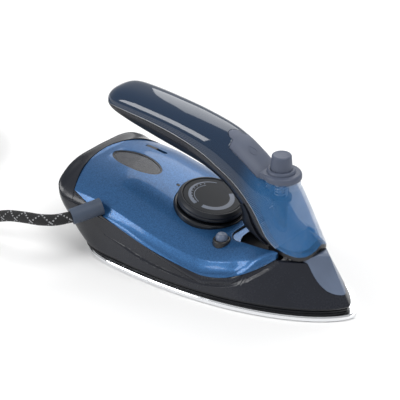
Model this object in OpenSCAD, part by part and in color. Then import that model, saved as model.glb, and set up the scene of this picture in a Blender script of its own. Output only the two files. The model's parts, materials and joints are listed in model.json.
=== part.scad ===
// Folding-handle travel steam iron, about 195 x 95 x 98 mm, with its free mains cord.
// Origin at the centre of the soleplate's lower face, +X to the nose, +Z up, millimetres.

/* [Soleplate and body] */
// Width of the soleplate
sole_w = 95; // [80:1:115]
// Nose tip of the soleplate, forward of the origin
nose_x = 88; // [76:1:105]
// Rear edge of the soleplate, behind the origin
heel_back = 87; // [76:1:100]
// How far the heel leans back past the soleplate
heel_over = 17.5; // [10:0.5:22]
// Where the body is widest, behind the origin
wide_back = 45; // [35:1:55]
// Angle that the nose ridge leans back from upright
nose_lean = 29; // [24:1:33]
// Inward lean of the side walls per millimetre of height
side_lean = 0.14; // [0.08:0.01:0.2]
// Thickness of the soleplate
sole_t = 3.2; // [2.4:0.1:4]
// Height of the heat shield band above the soleplate
shield_h = 3.6; // [3:0.1:4.4]
// Wall of the plastic housings
wall = 2.2; // [1.6:0.1:2.6]
// Height of the body's back at the heel
top_heel = 44.8; // [42:0.1:48]
// Height of the body's back at its waist
top_waist = 30.5; // [29:0.1:32.5]
// Rise of the body's back towards the handle's foot
foot_rise = 4.5; // [3:0.1:5]
// Drop of the crown from the spine to the shoulder
crown_drop = 14; // [12:0.1:15]
// Height of the rim that the handle's foot stands over
rim_z = 30; // [29:0.1:31]

/* [Dial] */
// Distance of the dial's axis behind the origin
dial_back = 17.2; // [15:0.1:20]
// Height of the dial's seat on its axis
dial_z = 33; // [32:0.1:34.5]
// Forward tilt of the dial's axis
dial_tilt = 11; // [8:0.5:13]
// Radius of the dial knob
dial_r = 20; // [16:0.5:21]
// Height of the dial knob above its seat
dial_h = 9; // [7:0.1:10]
// Radius of the dial's shaft
dial_shaft_r = 3; // [2.5:0.1:4]

/* [Handle] */
// Height of the hinge axis
hinge_z = 28; // [26:0.5:30]
// Distance of the hinge axis in front of the origin
hinge_x = 40; // [36:0.5:42]
// Radius of the hinge pin
hinge_pin_r = 2.5; // [2:0.1:3]
// Half width of the grip
grip_w = 14.5; // [13:0.1:15.5]
// Wall of the water tank
tank_wall = 1.9; // [1.4:0.1:2.4]
// Wall of the handle's lower shells
shell_wall = 1.8; // [1.4:0.1:2.2]

/* [Steam button and filler] */
// Distance of the steam button's axis in front of the origin
steam_x = 34.5; // [33:0.5:36]
// Radius of the steam button at its top
steam_r = 5.5; // [4.5:0.1:6]
// Height of the steam button's top
steam_top = 86; // [83:0.5:88]
// Travel of the steam button
steam_travel = 3.5; // [2:0.1:4]
// Radius of the collar around the steam button
collar_r = 11; // [10:0.1:12]
// Thickness of the filler flap
flap_t = 1.8; // [1.4:0.1:2.2]
// Radius of the filler hole
filler_r = 4.8; // [3.5:0.1:5.5]

/* [Fold button and voltage switch] */
// Radius of the fold button
fold_r = 3.5; // [2.8:0.1:4]
// Travel of the fold button
fold_travel = 2.5; // [1.5:0.1:3]
// Travel of the voltage slider
volt_travel = 7; // [5:0.5:9]
// Half length of the pilot lamp's lens
lens_a = 18.5; // [15:0.5:20]
// Half width of the pilot lamp's lens
lens_b = 9; // [7:0.5:10]

/* [Cord] */
// Diameter of the cord
cord_d = 6.8; // [5:0.1:8]
// Outer diameter of the cord guard
guard_d = 10; // [9:0.1:12]
// Diameter of a plug pin
pin_d = 4.8; // [4:0.1:4.8]
// Spacing of the plug pins
pin_gap = 19; // [19:0.1:19.2]

/* [Hidden] */
$fn = 64;
eps = 0.01;

/* Fits and gaps */
running = 0.05;
slide_gap = 0.15;
seam_gap = 0.15;

/* Colours */
graphite = "#23262e";
deep_blue = "#2f5f98";
slate = "#5c606b";
black = "#15161a";
steel = "#c9ccd0";

/* ---------- shared curves ---------- */
heel_x = -heel_back;
wide_x = -wide_back;
shield_top = sole_t + shield_h;
cover_z = 31;

function smooth(t) = let(c = min(1, max(0, t))) c*c*(3 - 2*c);
function lerp(a, b, t) = a + (b - a)*t;

// Plan outline of the body at height z, inset by d, at angle a about its widest place.
function front_x(z) = nose_x - 3.2*min(1, z/shield_top) - max(0, z - shield_top)*tan(nose_lean);
function rear_x(z) = heel_x - heel_over*sin(90*min(1, max(0, (z - 5)/33)));
function side_y(z) = sole_w/2 - side_lean*z;
function nose_power(z) = 1.5 - 0.45*min(1, z/33);
function heel_power(z) = 3 + 3*smooth(z/20) + 6*smooth((z - 16)/16) - 5*smooth((z - 35)/8);
function outline(a, z, d) = let(c = cos(a), s = sin(a), front = c >= 0)
  [wide_x + sign(c)*pow(abs(c), front ? 2/2.2 : 2/heel_power(z))
     *(front ? front_x(z) - wide_x - 1.7*d : wide_x - rear_x(z) - d),
   sign(s)*pow(abs(s), front ? 2/nose_power(z) : 2/(heel_power(z) + 1))*(side_y(z) - d)];
function outline_2d(z, d, n = 90) = [for (i = [0:n - 1]) outline(i*360/n, z, d)];

// Height of the body's back along its spine, and of its crown at any place.
function spine_z(x) = lerp(top_heel, top_waist, smooth((x + 80)/95))
  + foot_rise*smooth((x - 2)/30) + 2.2*smooth((-97 - x)/7);
function half_w(x) = let(t = (x - wide_x)/(front_x(28) - wide_x))
  t <= 0 ? side_y(28) : max(17, side_y(28)*pow(max(0, 1 - pow(t, 2.2)), 1/1.16));
function crown_z(x, y) = spine_z(x)
  - crown_drop*(1 - smooth((x - 25)/22))*pow(min(1.1, abs(y)/half_w(x)), 3.5);
function edge_z(a, d, z = 30, n = 9) = n == 0 ? z :
  let(p = outline(a, z, d)) edge_z(a, d, (z + crown_z(p.x, p.y) - d)/2, n - 1);

// Height of the seam between the lower housing and the upper cover.
function seam_z(x) = 15.3 + (x < 8 ? 0.0825*pow(8 - x, 1.2) : 0.00518*pow(x - 8, 2.2));
// The seam between the rear cover and the upper cover, seen from above.
function rear_seam_x(y) = -99.5 + 0.0065*y*y;

// Skins a list of rings, each a list of the same number of points, into one closed solid. The
// faces turn outwards whichever way round the rings run.
function sum(v) = [for (x = v) 1]*v;
module skin(rings) {
  n = len(rings[0]);
  m = len(rings);
  r = rings[0];
  area = sum([for (i = [1:n - 2]) cross(r[i] - r[0], r[i + 1] - r[0])]);
  flip = area*sum([for (i = [0:n - 1]) rings[1][i] - r[i]]) > 0;
  faces = concat(
    [[for (i = [n - 1:-1:0]) i]],
    [for (k = [0:m - 2], i = [0:n - 1]) let(j = (i + 1) % n)
      each [[k*n + i, k*n + j, (k + 1)*n + j], [k*n + i, (k + 1)*n + j, (k + 1)*n + i]]],
    [[for (i = [0:n - 1]) (m - 1)*n + i]]);
  polyhedron(
    points = [for (r = rings) each r],
    faces = flip ? [for (f = faces) [for (i = [len(f) - 1:-1:0]) f[i]]] : faces);
}

// The whole body as one solid from height z0 up, every face inset by d.
body_sides = 60;
module envelope(d = 0, z0 = 0, levels = 7) {
  angles = [for (i = [0:body_sides - 1]) i*360/body_sides];
  tops = [for (a = angles) edge_z(a, d)];
  round = 1.6;
  skin(concat(
    [for (k = [0:levels]) [for (i = [0:body_sides - 1])
      let(z = lerp(z0, tops[i] - round, k/levels), p = outline(angles[i], z, d)) [p.x, p.y, z]]],
    [for (r = [0.965, 0.86, 0.7, 0.5, 0.28, 0.06]) [for (i = [0:body_sides - 1])
      let(p = outline(angles[i], tops[i], d), x = wide_x + r*(p.x - wide_x), y = r*p.y)
      [x, y, crown_z(x, y) - d]]]));
}

// Turns a moulded shell into one clean surface.
module moulded() { resize([0, 0, 0]) children(); }

// Everything above the side seam, raised by g.
module above_seam(g) {
  rotate([90, 0, 0]) translate([0, 0, -70]) linear_extrude(140)
    polygon(concat([for (x = [-125:5:55]) [x, seam_z(x) + g]], [[55, 90], [-125, 90]]));
}

// Everything behind the rear seam and above the heel's lower edge, moved back by g.
module behind_seam(g) {
  translate([0, 0, cover_z + g]) linear_extrude(60)
    polygon(concat([for (y = [-50:5:50]) [rear_seam_x(y) - g, y]], [[-125, 50], [-125, -50]]));
}

/* ---------- handle curves ---------- */
// Each row is a station from the handle's rear to its foot: the seam's x and z, the top's x and
// z, the underside's x and z, the half width, the dip of the foot's rim, and the share of the
// depth below the seam that the frame takes from the grip cover.
stations = [
  [-89, 84.4, -89.4, 86.2, -89, 83.4, 5, 0, 0.3],
  [-87.8, 85, -88.4, 89.6, -87.8, 82.4, 9, 0, 0.3],
  [-84.8, 85.4, -85.2, 92.6, -84.8, 80.8, 12, 0, 0.3],
  [-79, 85.6, -79, 94.6, -79, 78.4, grip_w - 0.5, 0, 0.3],
  [-67, 85.3, -66.5, 95, -68, 75, grip_w, 0, 0.3],
  [-50, 84.4, -48, 94.4, -50, 71.2, grip_w, 0, 0.3],
  [-30, 82, -27, 93, -32, 68.2, grip_w, 0, 0.32],
  [-12, 77.6, -6, 90, -17, 66, grip_w, 0, 0.36],
  [0, 72.3, 7, 85.6, -7, 63.4, grip_w - 0.1, 0, 0.4],
  [10.2, 67, 17, 80, 3, 58.5, grip_w - 0.3, 0, 0.44],
  [18.5, 60.6, 27, 74.4, 10, 52, grip_w - 0.5, 0, 0.5],
  [26, 53, 42, 71, 15, 46.5, grip_w - 0.5, 0, 0.56],
  [31.2, 46, 50, 60.5, 19, 42, grip_w - 0.3, 0, 0.64],
  [36.2, 39.8, 57.4, 48.6, 24, 38, grip_w + 0.1, 1.6, 0.76],
  [43, 35.4, 63.8, 39.2, 33, 35, grip_w + 0.5, 4.6, 0.9]];
last = len(stations) - 1;

// A station at any place t from 0 to last, smoothed through its neighbours.
function row(i) = stations[min(last, max(0, i))];
function station(t) = let(i = min(last - 1, floor(t)), u = t - i,
  a = row(i - 1), b = row(i), c = row(i + 1), d = row(i + 2))
  b + u*((c - a)/2 + u*((a*2 - b*5 + c*4 - d)/2 + u*(b*3 - a - c*3 + d)/2));

// One section of the handle at t: the slice between two depths, as shares of the way from the
// seam to the top (up = true) or to the underside, with its curved faces inset by d. A depth is
// [share, part of the station's own split].
function slice(t, up, from, to, d, n) =
  let(s = station(t), a = [s[0], s[1]], b = up ? [s[2], s[3]] : [s[4], s[5]],
    v = b - a, long = max(0.1, norm(v)), reach = max(0.05, long - d)/long, w = max(0.05, s[6] - d),
    power = 2/(up ? 2.4 : 2.7), f0 = from[0] + from[1]*s[8], f1 = to[0] + to[1]*s[8],
    a0 = asin(pow(f0, 1/power)), a1 = asin(pow(f1, 1/power)),
    half = [for (k = [0:n]) let(q = lerp(a0, a1, k/n)) [w*pow(cos(q), power), pow(sin(q), power)*reach,
      up ? s[7]*sin(2*q) : 0]])
  [for (k = [0:2*n + 1]) let(p = k <= n ? half[k] : half[2*n + 1 - k], y = k <= n ? -p[0] : p[0])
    [a.x + v.x*p[1], y, a.y + v.y*p[1] - p[2]]];
module handle_loft(up, from = [0, 0], to = [1, 0], d = 0, t0 = 0, t1 = last, steps = 28, n = 9) {
  skin([for (k = [0:steps]) slice(lerp(t0, t1, k/steps), up, from, to, d, n)]);
}
// The outline of the tank's foot, lowered by each height in drops, as one slab.
module foot_slab(drops, d) {
  skin([for (h = drops) [for (p = slice(last, true, [0, 0], [1, 0], d, 9)) p - [0, 0, h]]]);
}

/* ---------- placing ---------- */
// Puts its children on the dial's axis, with z = 0 at the seat.
module on_dial() { translate([-dial_back, 0, dial_z]) rotate([0, dial_tilt, 0]) children(); }
// Stands its children on p, with their z axis towards q.
module along(p, q) {
  v = q - p;
  translate(p) rotate([0, acos(v.z/norm(v)), atan2(v.y, v.x)]) children();
}
// A round tube or cord of radius r through the points, smoothed between them.
function smooth_point(p, t) = let(m = len(p) - 1, i = min(m - 1, floor(t)), u = t - i,
  a = p[max(0, i - 1)], b = p[i], c = p[i + 1], e = p[min(m, i + 2)])
  b + u*((c - a)/2 + u*((a*2 - b*5 + c*4 - e)/2 + u*(b*3 - a - c*3 + e)/2));
module tube(p, r, per = 1, sides = 10) {
  m = (len(p) - 1)*per;
  skin([for (k = [0:m]) let(c = smooth_point(p, k/per),
      v = smooth_point(p, min(m, k + 0.5)/per) - smooth_point(p, max(0, k - 0.5)/per),
      x = cross([0, 0, 1], v), ux = x/norm(x), uy = cross(v, ux)/norm(v))
    [for (i = [0:sides - 1]) c + r*(cos(i*360/sides)*ux + sin(i*360/sides)*uy)]]);
}
// A coil spring of wire radius w and mean radius r from z = 0 to h.
module spring(r, w, turns, h, steps = 14, sides = 6) {
  m = turns*steps;
  skin([for (k = [0:m]) let(a = k*360/steps, z = w + (h - 2*w)*k/m)
    [for (i = [0:sides - 1]) let(b = i*360/sides)
      [(r + w*cos(b))*cos(a), (r + w*cos(b))*sin(a), z + w*sin(b)]]]);
}
module tube_ring(r, hole, h) {
  difference() {
    cylinder(r = r, h = h);
    translate([0, 0, -1]) cylinder(r = hole, h = h + 2);
  }
}
// A round-cornered plate from x0 to x1, centred on the x axis.
module plate(x0, x1, w, r, h) {
  translate([x0 + r, r - w/2, 0]) linear_extrude(h) offset(r = r) square([x1 - x0 - 2*r, w - 2*r]);
}

/* ---------- soleplate and steam chamber ---------- */
hole_r = 1.3;
chamber_top = 14;
chamber_inset = 10;
element_r = 3.2;
element_bend = 22;
element_x = 27;
element_end = -65;
element_z = 11.5;
gasket_t = 0.6;
lid_t = 1.6;
lid_top = chamber_top + gasket_t + lid_t;
inlet_x = 30;
module soleplate() {
  color(steel) difference() {
    union() {
      linear_extrude(0.7) polygon(outline_2d(0, 1));
      translate([0, 0, 0.7]) linear_extrude(sole_t - 1.3) polygon(outline_2d(0, 0));
      translate([0, 0, sole_t - 0.6]) linear_extrude(0.6) polygon(outline_2d(0, 0.6));
    }
    for (side = [-1, 1], i = [0:7])
      translate([nose_x - 30 - 14*i, side*(4 + 3.2*i), -1]) cylinder(r = hole_r, h = 9);
    for (i = [0:2]) translate([nose_x - 22 - 16*i, 0, -1]) cylinder(r = hole_r, h = 9);
  }
}
module element_path(r) {
  for (side = [-1, 1]) translate([element_end, side*element_bend, element_z]) rotate([0, 90, 0])
    cylinder(r = r, h = element_x - element_end);
  translate([element_x, 0, element_z]) rotate([0, 0, -90])
    rotate_extrude(angle = 180) translate([element_bend, 0]) circle(r = r);
}
module bracket_screw_places() { for (y = [-5, 5]) translate([hinge_x + 1, y, 0]) children(); }
module steam_chamber() {
  color("#9a9ca0") difference() {
    translate([0, 0, sole_t]) linear_extrude(chamber_top - sole_t)
      polygon(outline_2d(0, chamber_inset));
    translate([0, 0, sole_t - 1]) linear_extrude(3) polygon(outline_2d(0, chamber_inset + 5));
    translate([0, 0, 7.5]) plate(-36, inlet_x + 3, 26, 8, 10);
    element_path(element_r + 0.1);
    translate([element_end - 4, -element_bend - 3.3, element_z]) cube([5, 2*element_bend + 6.6, 9]);
    for (side = [-1, 1]) translate([element_end - 4, side*element_bend - 1.4, element_z - 1.4])
      cube([5, 2.8, 9]);
    bracket_screw_places() translate([0, 0, 8]) cylinder(r = 1.55, h = 9);
  }
}
module heating_element() {
  color("#7d7f83") {
    element_path(element_r);
    for (side = [-1, 1]) translate([element_end - 3, side*element_bend, element_z]) rotate([0, 90, 0])
      cylinder(r = 1.2, h = 3);
  }
}
module chamber_gasket() {
  color("#b5542e") translate([0, 0, chamber_top]) difference() {
    plate(-39.5, inlet_x + 6.5, 33, 11, gasket_t);
    translate([0, 0, -1]) plate(-36, inlet_x + 3, 26, 8, 3);
  }
}
module chamber_cover() {
  color("#b9bbbe") difference() {
    union() {
      translate([0, 0, chamber_top + gasket_t]) plate(-39.5, inlet_x + 6.5, 33, 11, lid_t);
      translate([inlet_x, 0, lid_top - eps]) cylinder(r = 3, h = 3);
    }
    translate([inlet_x, 0, chamber_top]) cylinder(r = 1.8, h = 9);
  }
}

/* ---------- housings ---------- */
flange_t = 1.6;
flange_inset = 8.5;
dial_hole_r = dial_r + 1.7;
seat_r = dial_r + 1.5;
lens_x = -74;
slot_x = -77.5;
slot_y = 21.5;
slot_l = 17;
slot_w = 3;
fold_x = 8;
fold_y = -19.7;
ring_r = 5.2;
opening_x = 9;
opening_w = 2*(grip_w + 2.2);
guard_root = [-66, -40.5, 34];
guard_end = [-75, -57, 30.5];
module sole_screw_places() {
  for (a = [62, 152, 208, 298]) let(p = outline(a, shield_top, 5.8)) translate([p.x, p.y, 0]) children();
}
module heat_shield() {
  color(black) difference() {
    translate([0, 0, sole_t]) linear_extrude(shield_h) polygon(outline_2d(shield_top, 0.6));
    translate([0, 0, sole_t - 1]) linear_extrude(shield_h + 2) polygon(outline_2d(0, flange_inset));
    sole_screw_places() cylinder(r = 1.55, h = 20);
  }
}
module lens_prism(g) {
  translate([lens_x, 0, 35]) linear_extrude(20) scale([1, (lens_b + g)/(lens_a + g)])
    circle(r = lens_a + g);
}
module foot_opening() {
  translate([0, 0, rim_z]) plate(opening_x, 90, opening_w, 8, 40);
}
// The tongue of the nose cover as half widths and heights, from its top to its tip.
tongue_rows = [[9.2, 60], [9.2, 30], [9.4, 23], [8.8, 19], [7.4, 15.8], [5, 14], [2, 13.2]];
// The same tongue grown by g and running along x.
module tongue(g) {
  translate([50, 0, 0]) rotate([90, 0, 90]) linear_extrude(60)
    polygon([for (side = [-1, 1], k = side < 0 ? [len(tongue_rows) - 1:-1:0] : [0:len(tongue_rows) - 1])
      [side*(tongue_rows[k][0] + g), tongue_rows[k][1] - g]]);
}
module lower_housing() {
  color(graphite) moulded() difference() {
    union() {
      difference() {
        envelope(0, shield_top + 0.05);
        envelope(wall, 0);
      }
      translate([0, 0, shield_top + 0.05]) linear_extrude(flange_t) difference() {
        polygon(outline_2d(shield_top, 1));
        polygon(outline_2d(0, flange_inset));
      }
    }
    above_seam(-seam_gap);
    behind_seam(-seam_gap);
    translate([46, -40, rim_z]) cube([60, 80, 40]);
    difference() {
      tongue(seam_gap);
      envelope(1.5, 0);
    }
    sole_screw_places() cylinder(r = 1.55, h = 20, $fn = 16);
    along(guard_root, guard_end) cylinder(r = guard_d/2 + 0.4, h = 20, $fn = 24);
  }
}
module upper_cover() {
  color(deep_blue) moulded() difference() {
    intersection() {
      envelope(0, shield_top);
      above_seam(seam_gap);
    }
    envelope(wall, 0);
    behind_seam(-seam_gap);
    translate([46, -40, rim_z]) cube([60, 80, 40]);
    foot_opening();
    lens_prism(0);
    on_dial() translate([0, 0, -12]) cylinder(r = dial_hole_r, h = 40, $fn = 64);
    translate([slot_x - slot_l/2, slot_y - slot_w/2, 30]) cube([slot_l, slot_w, 30]);
    translate([fold_x, fold_y, 20]) cylinder(r = ring_r + 0.1, h = 30, $fn = 32);
    translate([-41.5, 0, 30]) cylinder(r = 1.2, h = 20, $fn = 24);
    along(guard_root, guard_end) cylinder(r = guard_d/2 + 0.4, h = 20, $fn = 24);
  }
}
module rear_cover() {
  color(black) moulded() difference() {
    intersection() {
      envelope(0, shield_top);
      behind_seam(seam_gap);
    }
    envelope(wall, 0);
  }
}
module nose_cover() {
  color(slate) moulded() difference() {
    intersection() {
      envelope(0, shield_top);
      tongue(0);
      translate([0, -40, 0]) cube([100, 80, rim_z]);
    }
    envelope(1.4, 0);
  }
}

/* ---------- dial and thermostat ---------- */
knob_z = 3.2;
module dial_seat() {
  color(black) on_dial() {
    translate([0, 0, -3]) tube_ring(seat_r, dial_shaft_r + running, 5.6);
    translate([0, 0, -7]) tube_ring(7, dial_shaft_r + running, 4.01);
  }
}
module dial_knob() {
  color("#33353b") on_dial() difference() {
    rotate_extrude($fn = 96) polygon(concat([[0, knob_z], [dial_r - 1.2, knob_z], [dial_r - 0.4, knob_z + 1]],
      [for (a = [0:15:90]) [dial_r - 1.6 + 1.6*cos(a), dial_h - 1.6 + 1.6*sin(a)]],
      [[dial_r - 2.4, dial_h], [dial_r - 2.8, dial_h - 0.9], [0, dial_h - 0.9]]));
    cylinder(r = dial_shaft_r + 0.02, h = 6.5);
  }
}
module dial_face() {
  color("#1d1f24") on_dial() translate([0, 0, dial_h - 0.9]) cylinder(r = dial_r - 3, h = 0.5);
}
module dial_shaft() {
  color(steel) on_dial() translate([0, 0, -12]) cylinder(r = dial_shaft_r, h = 18);
}
module thermostat_body() {
  color("#e3ddcf") on_dial() translate([0, 0, -13]) tube_ring(8.5, dial_shaft_r + running, 5.8);
}
module thermostat_blade() {
  color("#b08d4a") translate([-42, -4, lid_top + 0.2]) cube([36, 8, 0.8]);
}
module index_mark() {
  color("#0d0e10") translate([-41.5, 0, crown_z(-41.5, 0) - 2]) cylinder(r = 1.1, h = 2);
}
module pilot_lens() {
  color([0.12, 0.13, 0.16, 0.7]) moulded() difference() {
    intersection() {
      envelope(0.5, shield_top);
      lens_prism(-0.2);
    }
    envelope(0.5 + wall, 0);
  }
}
module pilot_lamp() {
  color("#e2571c") {
    translate([lens_x - 7, 0, 36]) rotate([0, 90, 0]) cylinder(r = 2.5, h = 14);
    translate([lens_x - 10, -4, 32]) cube([20, 8, 1.6]);
    for (x = [-6, 6]) translate([lens_x + x, 0, 33.5]) cylinder(r = 1, h = 1.5);
  }
}

/* ---------- voltage selector ---------- */
slider_top = crown_z(slot_x, slot_y) - 0.7;
module voltage_switch() {
  color(black) difference() {
    translate([slot_x - 11, slot_y - 5, slider_top - 15]) cube([22, 10, 10]);
    translate([slot_x - slot_l/2, slot_y - 1.5, slider_top - 8]) cube([slot_l, 3, 9]);
  }
}
module voltage_slider() {
  color("#0f1013") translate([slot_x - slot_l/2 + 1, slot_y - 1.2, slider_top - 7.5])
    cube([slot_l - volt_travel - 2, 2.4, 7.5]);
}

/* ---------- fold button ---------- */
fold_seat = crown_z(fold_x, fold_y);
latch_floor = 17;
button_low = 23;
arm_w = 3;
module fold_button_ring() {
  color(black) translate([fold_x, fold_y, 0]) difference() {
    union() {
      translate([0, 0, latch_floor - 0.8]) tube_ring(ring_r, fold_r + 0.9, fold_seat - 2 - latch_floor);
      translate([0, 0, fold_seat - 3]) tube_ring(ring_r, fold_r + slide_gap, 4.2);
      translate([0, 0, latch_floor - 0.8]) cylinder(r = ring_r, h = 0.8);
    }
    translate([0, -arm_w/2 - 0.5, button_low - fold_travel - 0.5])
      cube([20, arm_w + 1, fold_travel + 4]);
  }
}
module fold_button() {
  color(slate) translate([fold_x, fold_y, 0]) {
    rotate_extrude() polygon([[0, button_low + 2], [fold_r, button_low + 2], [fold_r, fold_seat + 4],
      [fold_r - 0.2, fold_seat + 4.4], [fold_r - 0.6, fold_seat + 4.6], [0, fold_seat + 4.6]]);
  }
}
module lock_pawl() {
  color(steel) translate([fold_x, fold_y, button_low]) {
    cylinder(r = fold_r, h = 1.98);
    translate([0, -arm_w/2, 0]) cube([15, arm_w, 1.98]);
    translate([12, -arm_w/2, 0]) cube([3, arm_w + 5, 1.98]);
  }
}
module fold_spring() {
  color(steel) translate([fold_x, fold_y, latch_floor]) spring(2.9, 0.35, 3, button_low - latch_floor);
}

/* ---------- hinge ---------- */
bracket_z = 15;
bracket_in = 12.6;
bracket_t = 2.2;
module hinge_brackets() {
  color("#8f9297") difference() {
    union() {
      translate([hinge_x - 3, -bracket_in - bracket_t, bracket_z])
        cube([7.5, 2*(bracket_in + bracket_t), 2]);
      for (side = [-1, 1]) translate([hinge_x - 3, side*(bracket_in + bracket_t/2) - bracket_t/2, bracket_z])
        cube([6.6, bracket_t, hinge_z - bracket_z]);
      rotate([90, 0, 0]) for (side = [-1, 1])
        translate([hinge_x, hinge_z, side*(bracket_in + bracket_t/2) - bracket_t/2])
        cylinder(r = 4, h = bracket_t);
    }
    translate([hinge_x, 20, hinge_z]) rotate([90, 0, 0]) cylinder(r = hinge_pin_r + 0.02, h = 40);
    bracket_screw_places() translate([0, 0, bracket_z - 1]) cylinder(r = 1.55, h = 9);
  }
}
module hinge_pin() {
  long = bracket_in + bracket_t + 0.4;
  color(steel) translate([hinge_x, long, hinge_z]) rotate([90, 0, 0])
    cylinder(r = hinge_pin_r, h = 2*long);
}
module screw(z, l, head = 2.7) {
  translate([0, 0, z - l]) cylinder(r = 1.5, h = l);
  translate([0, 0, z]) difference() {
    cylinder(r = head, h = 1.6);
    for (a = [0, 90]) rotate([0, 0, a]) translate([-1.6, -0.3, 0.8]) cube([3.2, 0.6, 2]);
  }
}
module body_screws() { color(steel) bracket_screw_places() screw(bracket_z + 2, 8); }
module sole_screws() { color(steel) sole_screw_places() screw(shield_top + 0.05 + flange_t, 5, 2.3); }

/* ---------- mains inside ---------- */
module terminal_block() {
  color("#d9d6cc") difference() {
    translate([-92, -9, 19]) cube([13, 24, 8]);
    for (y = [-5, 3, 11]) translate([-85.5, y, 23]) cylinder(r = 2, h = 9);
  }
}
module thermal_fuse() {
  color("#b98b3c") translate([-60, 0, lid_top + 3]) rotate([0, 90, 0]) cylinder(r = 1.8, h = 12);
}
module cord_clamp() {
  color(black) translate([-71, -36, 23]) cube([14, 4, 9]);
}
module inner_leads() {
  color("#8a4b2a") for (i = [0:2])
    tube([[-64 - 3*i, -30.6, 32], [-66 - 3*i, -24, 32 - i], [-74, -14 + 5*i, 31], [-77, -5 + 8*i, 28],
      [-77.9, -5 + 8*i, 24]], 0.9, 2, 8);
}
module cord_guard() {
  color(slate) along(guard_root, guard_end)
    cylinder(r1 = guard_d/2 + 0.1, r2 = guard_d/2 - 0.2, h = norm(guard_end - guard_root));
}

/* ---------- handle ---------- */
neck_x = steam_x + 0.9;
neck_r = collar_r - 0.7;
collar_z = 72;
collar_t = 3.6;
bridge_x = 26.2;
shelf_z = 60;
button_bore = steam_r + 0.9;
flap_gap = 0.3;
flap_w = 9.3;
flap_hinge_x = 26;
flap_hinge_z = 74.8;
pocket_d = flap_t + flap_gap;
fill_x = 9;
valve_r = 4.2;
outlet_z = 32;
module filler_bore(r) { translate([fill_x, 0, 72]) cylinder(r = r, h = 30, $fn = 48); }
module water_tank() {
  color([0.16, 0.34, 0.55, 0.6]) moulded() difference() {
    union() {
      handle_loft(true);
      translate([neck_x, 0, 56]) cylinder(r1 = neck_r + 1, r2 = neck_r, h = collar_z - 56 - 0.05, $fn = 48);
    }
    difference() {
      handle_loft(true, [0.14, 0], [1, 0], tank_wall, 1.2, last - 0.28);
      flap_plan(tank_wall);
    }
    intersection() {
      handle_loft(true, [0.14, 0], [1, 0], pocket_d + tank_wall, 1.2, last - 0.28);
      flap_plan(tank_wall + 0.1);
    }
    difference() {
      flap_plan(flap_gap);
      handle_loft(true, [0.1, 0], [1, 0], pocket_d, 5, 12, 21);
    }
    translate([neck_x, 0, 52]) cylinder(r = neck_r - tank_wall, h = collar_z - tank_wall - 52, $fn = 48);
    translate([neck_x, 0, collar_z - 0.05]) cylinder(r = collar_r + 0.1, h = 20, $fn = 48);
    translate([bridge_x - 0.1, -11, collar_z - 0.05]) cube([9, 22, 20]);
    translate([steam_x, 0, 50]) cylinder(r = button_bore + 0.3, h = 40, $fn = 48);
    translate([steam_x, 0, 30]) cylinder(r = valve_r + 0.1, h = 20, $fn = 32);
    filler_bore(filler_r);
  }
}
module tank_seal() {
  color("#0c0d0f") moulded() difference() {
    handle_loft(false, [0.015, 0], [0.08, 0], 0.2, n = 2);
    handle_loft(false, [0, 0], [0.2, 0], 3, 0.7, n = 2);
  }
}
module handle_frame() {
  color(slate) moulded() difference() {
    union() {
      difference() {
        handle_loft(false, [0.09, 0], [0, 1]);
        handle_loft(false, [0.22, 0], [1, 0], shell_wall, 0.5, last);
      }
      for (x = [-60, -25]) translate([x, 0, x < -40 ? 79 : 75]) cylinder(r = 2.8, h = 3.6, $fn = 24);
    }
    for (x = [-60, -25]) translate([x, 0, 68]) cylinder(r = 1.55, h = x < -40 ? 14.4 : 10.2, $fn = 24);
    translate([steam_x, 0, 30]) cylinder(r = valve_r + 0.1, h = 30, $fn = 32);
  }
}
module grip_cover() {
  color(black) moulded() difference() {
    handle_loft(false, [0.02, 1], [1, 0]);
    handle_loft(false, [0, 0], [1, 0], shell_wall, 0.5, last);
    for (x = [-60, -25]) translate([x, 0, 60]) cylinder(r = 2.6, h = 20, $fn = 24);
    translate([steam_x, 0, 30]) cylinder(r = valve_r + 0.1, h = 30, $fn = 32);
  }
}
ear_in = 8.6;
ear_t = 3.4;
module handle_foot() {
  color(black) difference() {
    union() {
      foot_slab([2.6, 0.15], 0.2);
      for (side = [-1, 1]) translate([hinge_x - 4.2, side*(ear_in + ear_t/2) - ear_t/2, hinge_z])
        cube([8.4, ear_t, 5]);
      rotate([90, 0, 0]) for (side = [-1, 1])
        translate([hinge_x, hinge_z, side*(ear_in + ear_t/2) - ear_t/2]) cylinder(r = 4.2, h = ear_t);
    }
    translate([hinge_x, 20, hinge_z]) rotate([90, 0, 0]) cylinder(r = hinge_pin_r + running, h = 40);
  }
}
module handle_screws() {
  color(steel) for (x = [-60, -25]) translate([x, 0, 0]) rotate([180, 0, 0])
    screw(x < -40 ? -77 : -72.8, 5, 2.4);
}

/* ---------- filler flap ---------- */
module flap_plan(g) {
  translate([0, 0, 60]) linear_extrude(50) {
    translate([2.4, 0]) circle(r = 4.6 + g, $fn = 40);
    polygon([[2.4, 4.6 + g], [4.6 - g, flap_w + g], [bridge_x - 0.5, flap_w + g],
      [bridge_x - 0.5, -flap_w - g], [4.6 - g, -flap_w - g], [2.4, -4.6 - g]]);
  }
}
module filler_flap() {
  color(slate) moulded() difference() {
    intersection() {
      flap_plan(0);
      handle_loft(true, [0.2, 0], [1, 0], 0, 6, 11.4, 21);
    }
    handle_loft(true, [0.1, 0], [1, 0], flap_t, 5.8, 11.6, 21);
  }
}
module filler_stopper() {
  color("#44474f") moulded() difference() {
    intersection() {
      translate([fill_x, 0, 72]) cylinder(r = filler_r - 0.7, h = 20, $fn = 40);
      handle_loft(true, [0.1, 0], [1, 0], flap_t + 0.04, 6, 11, 20);
    }
    handle_loft(true, [0.05, 0], [1, 0], pocket_d + 2.2, 5.8, 11.2, 20);
  }
}

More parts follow.
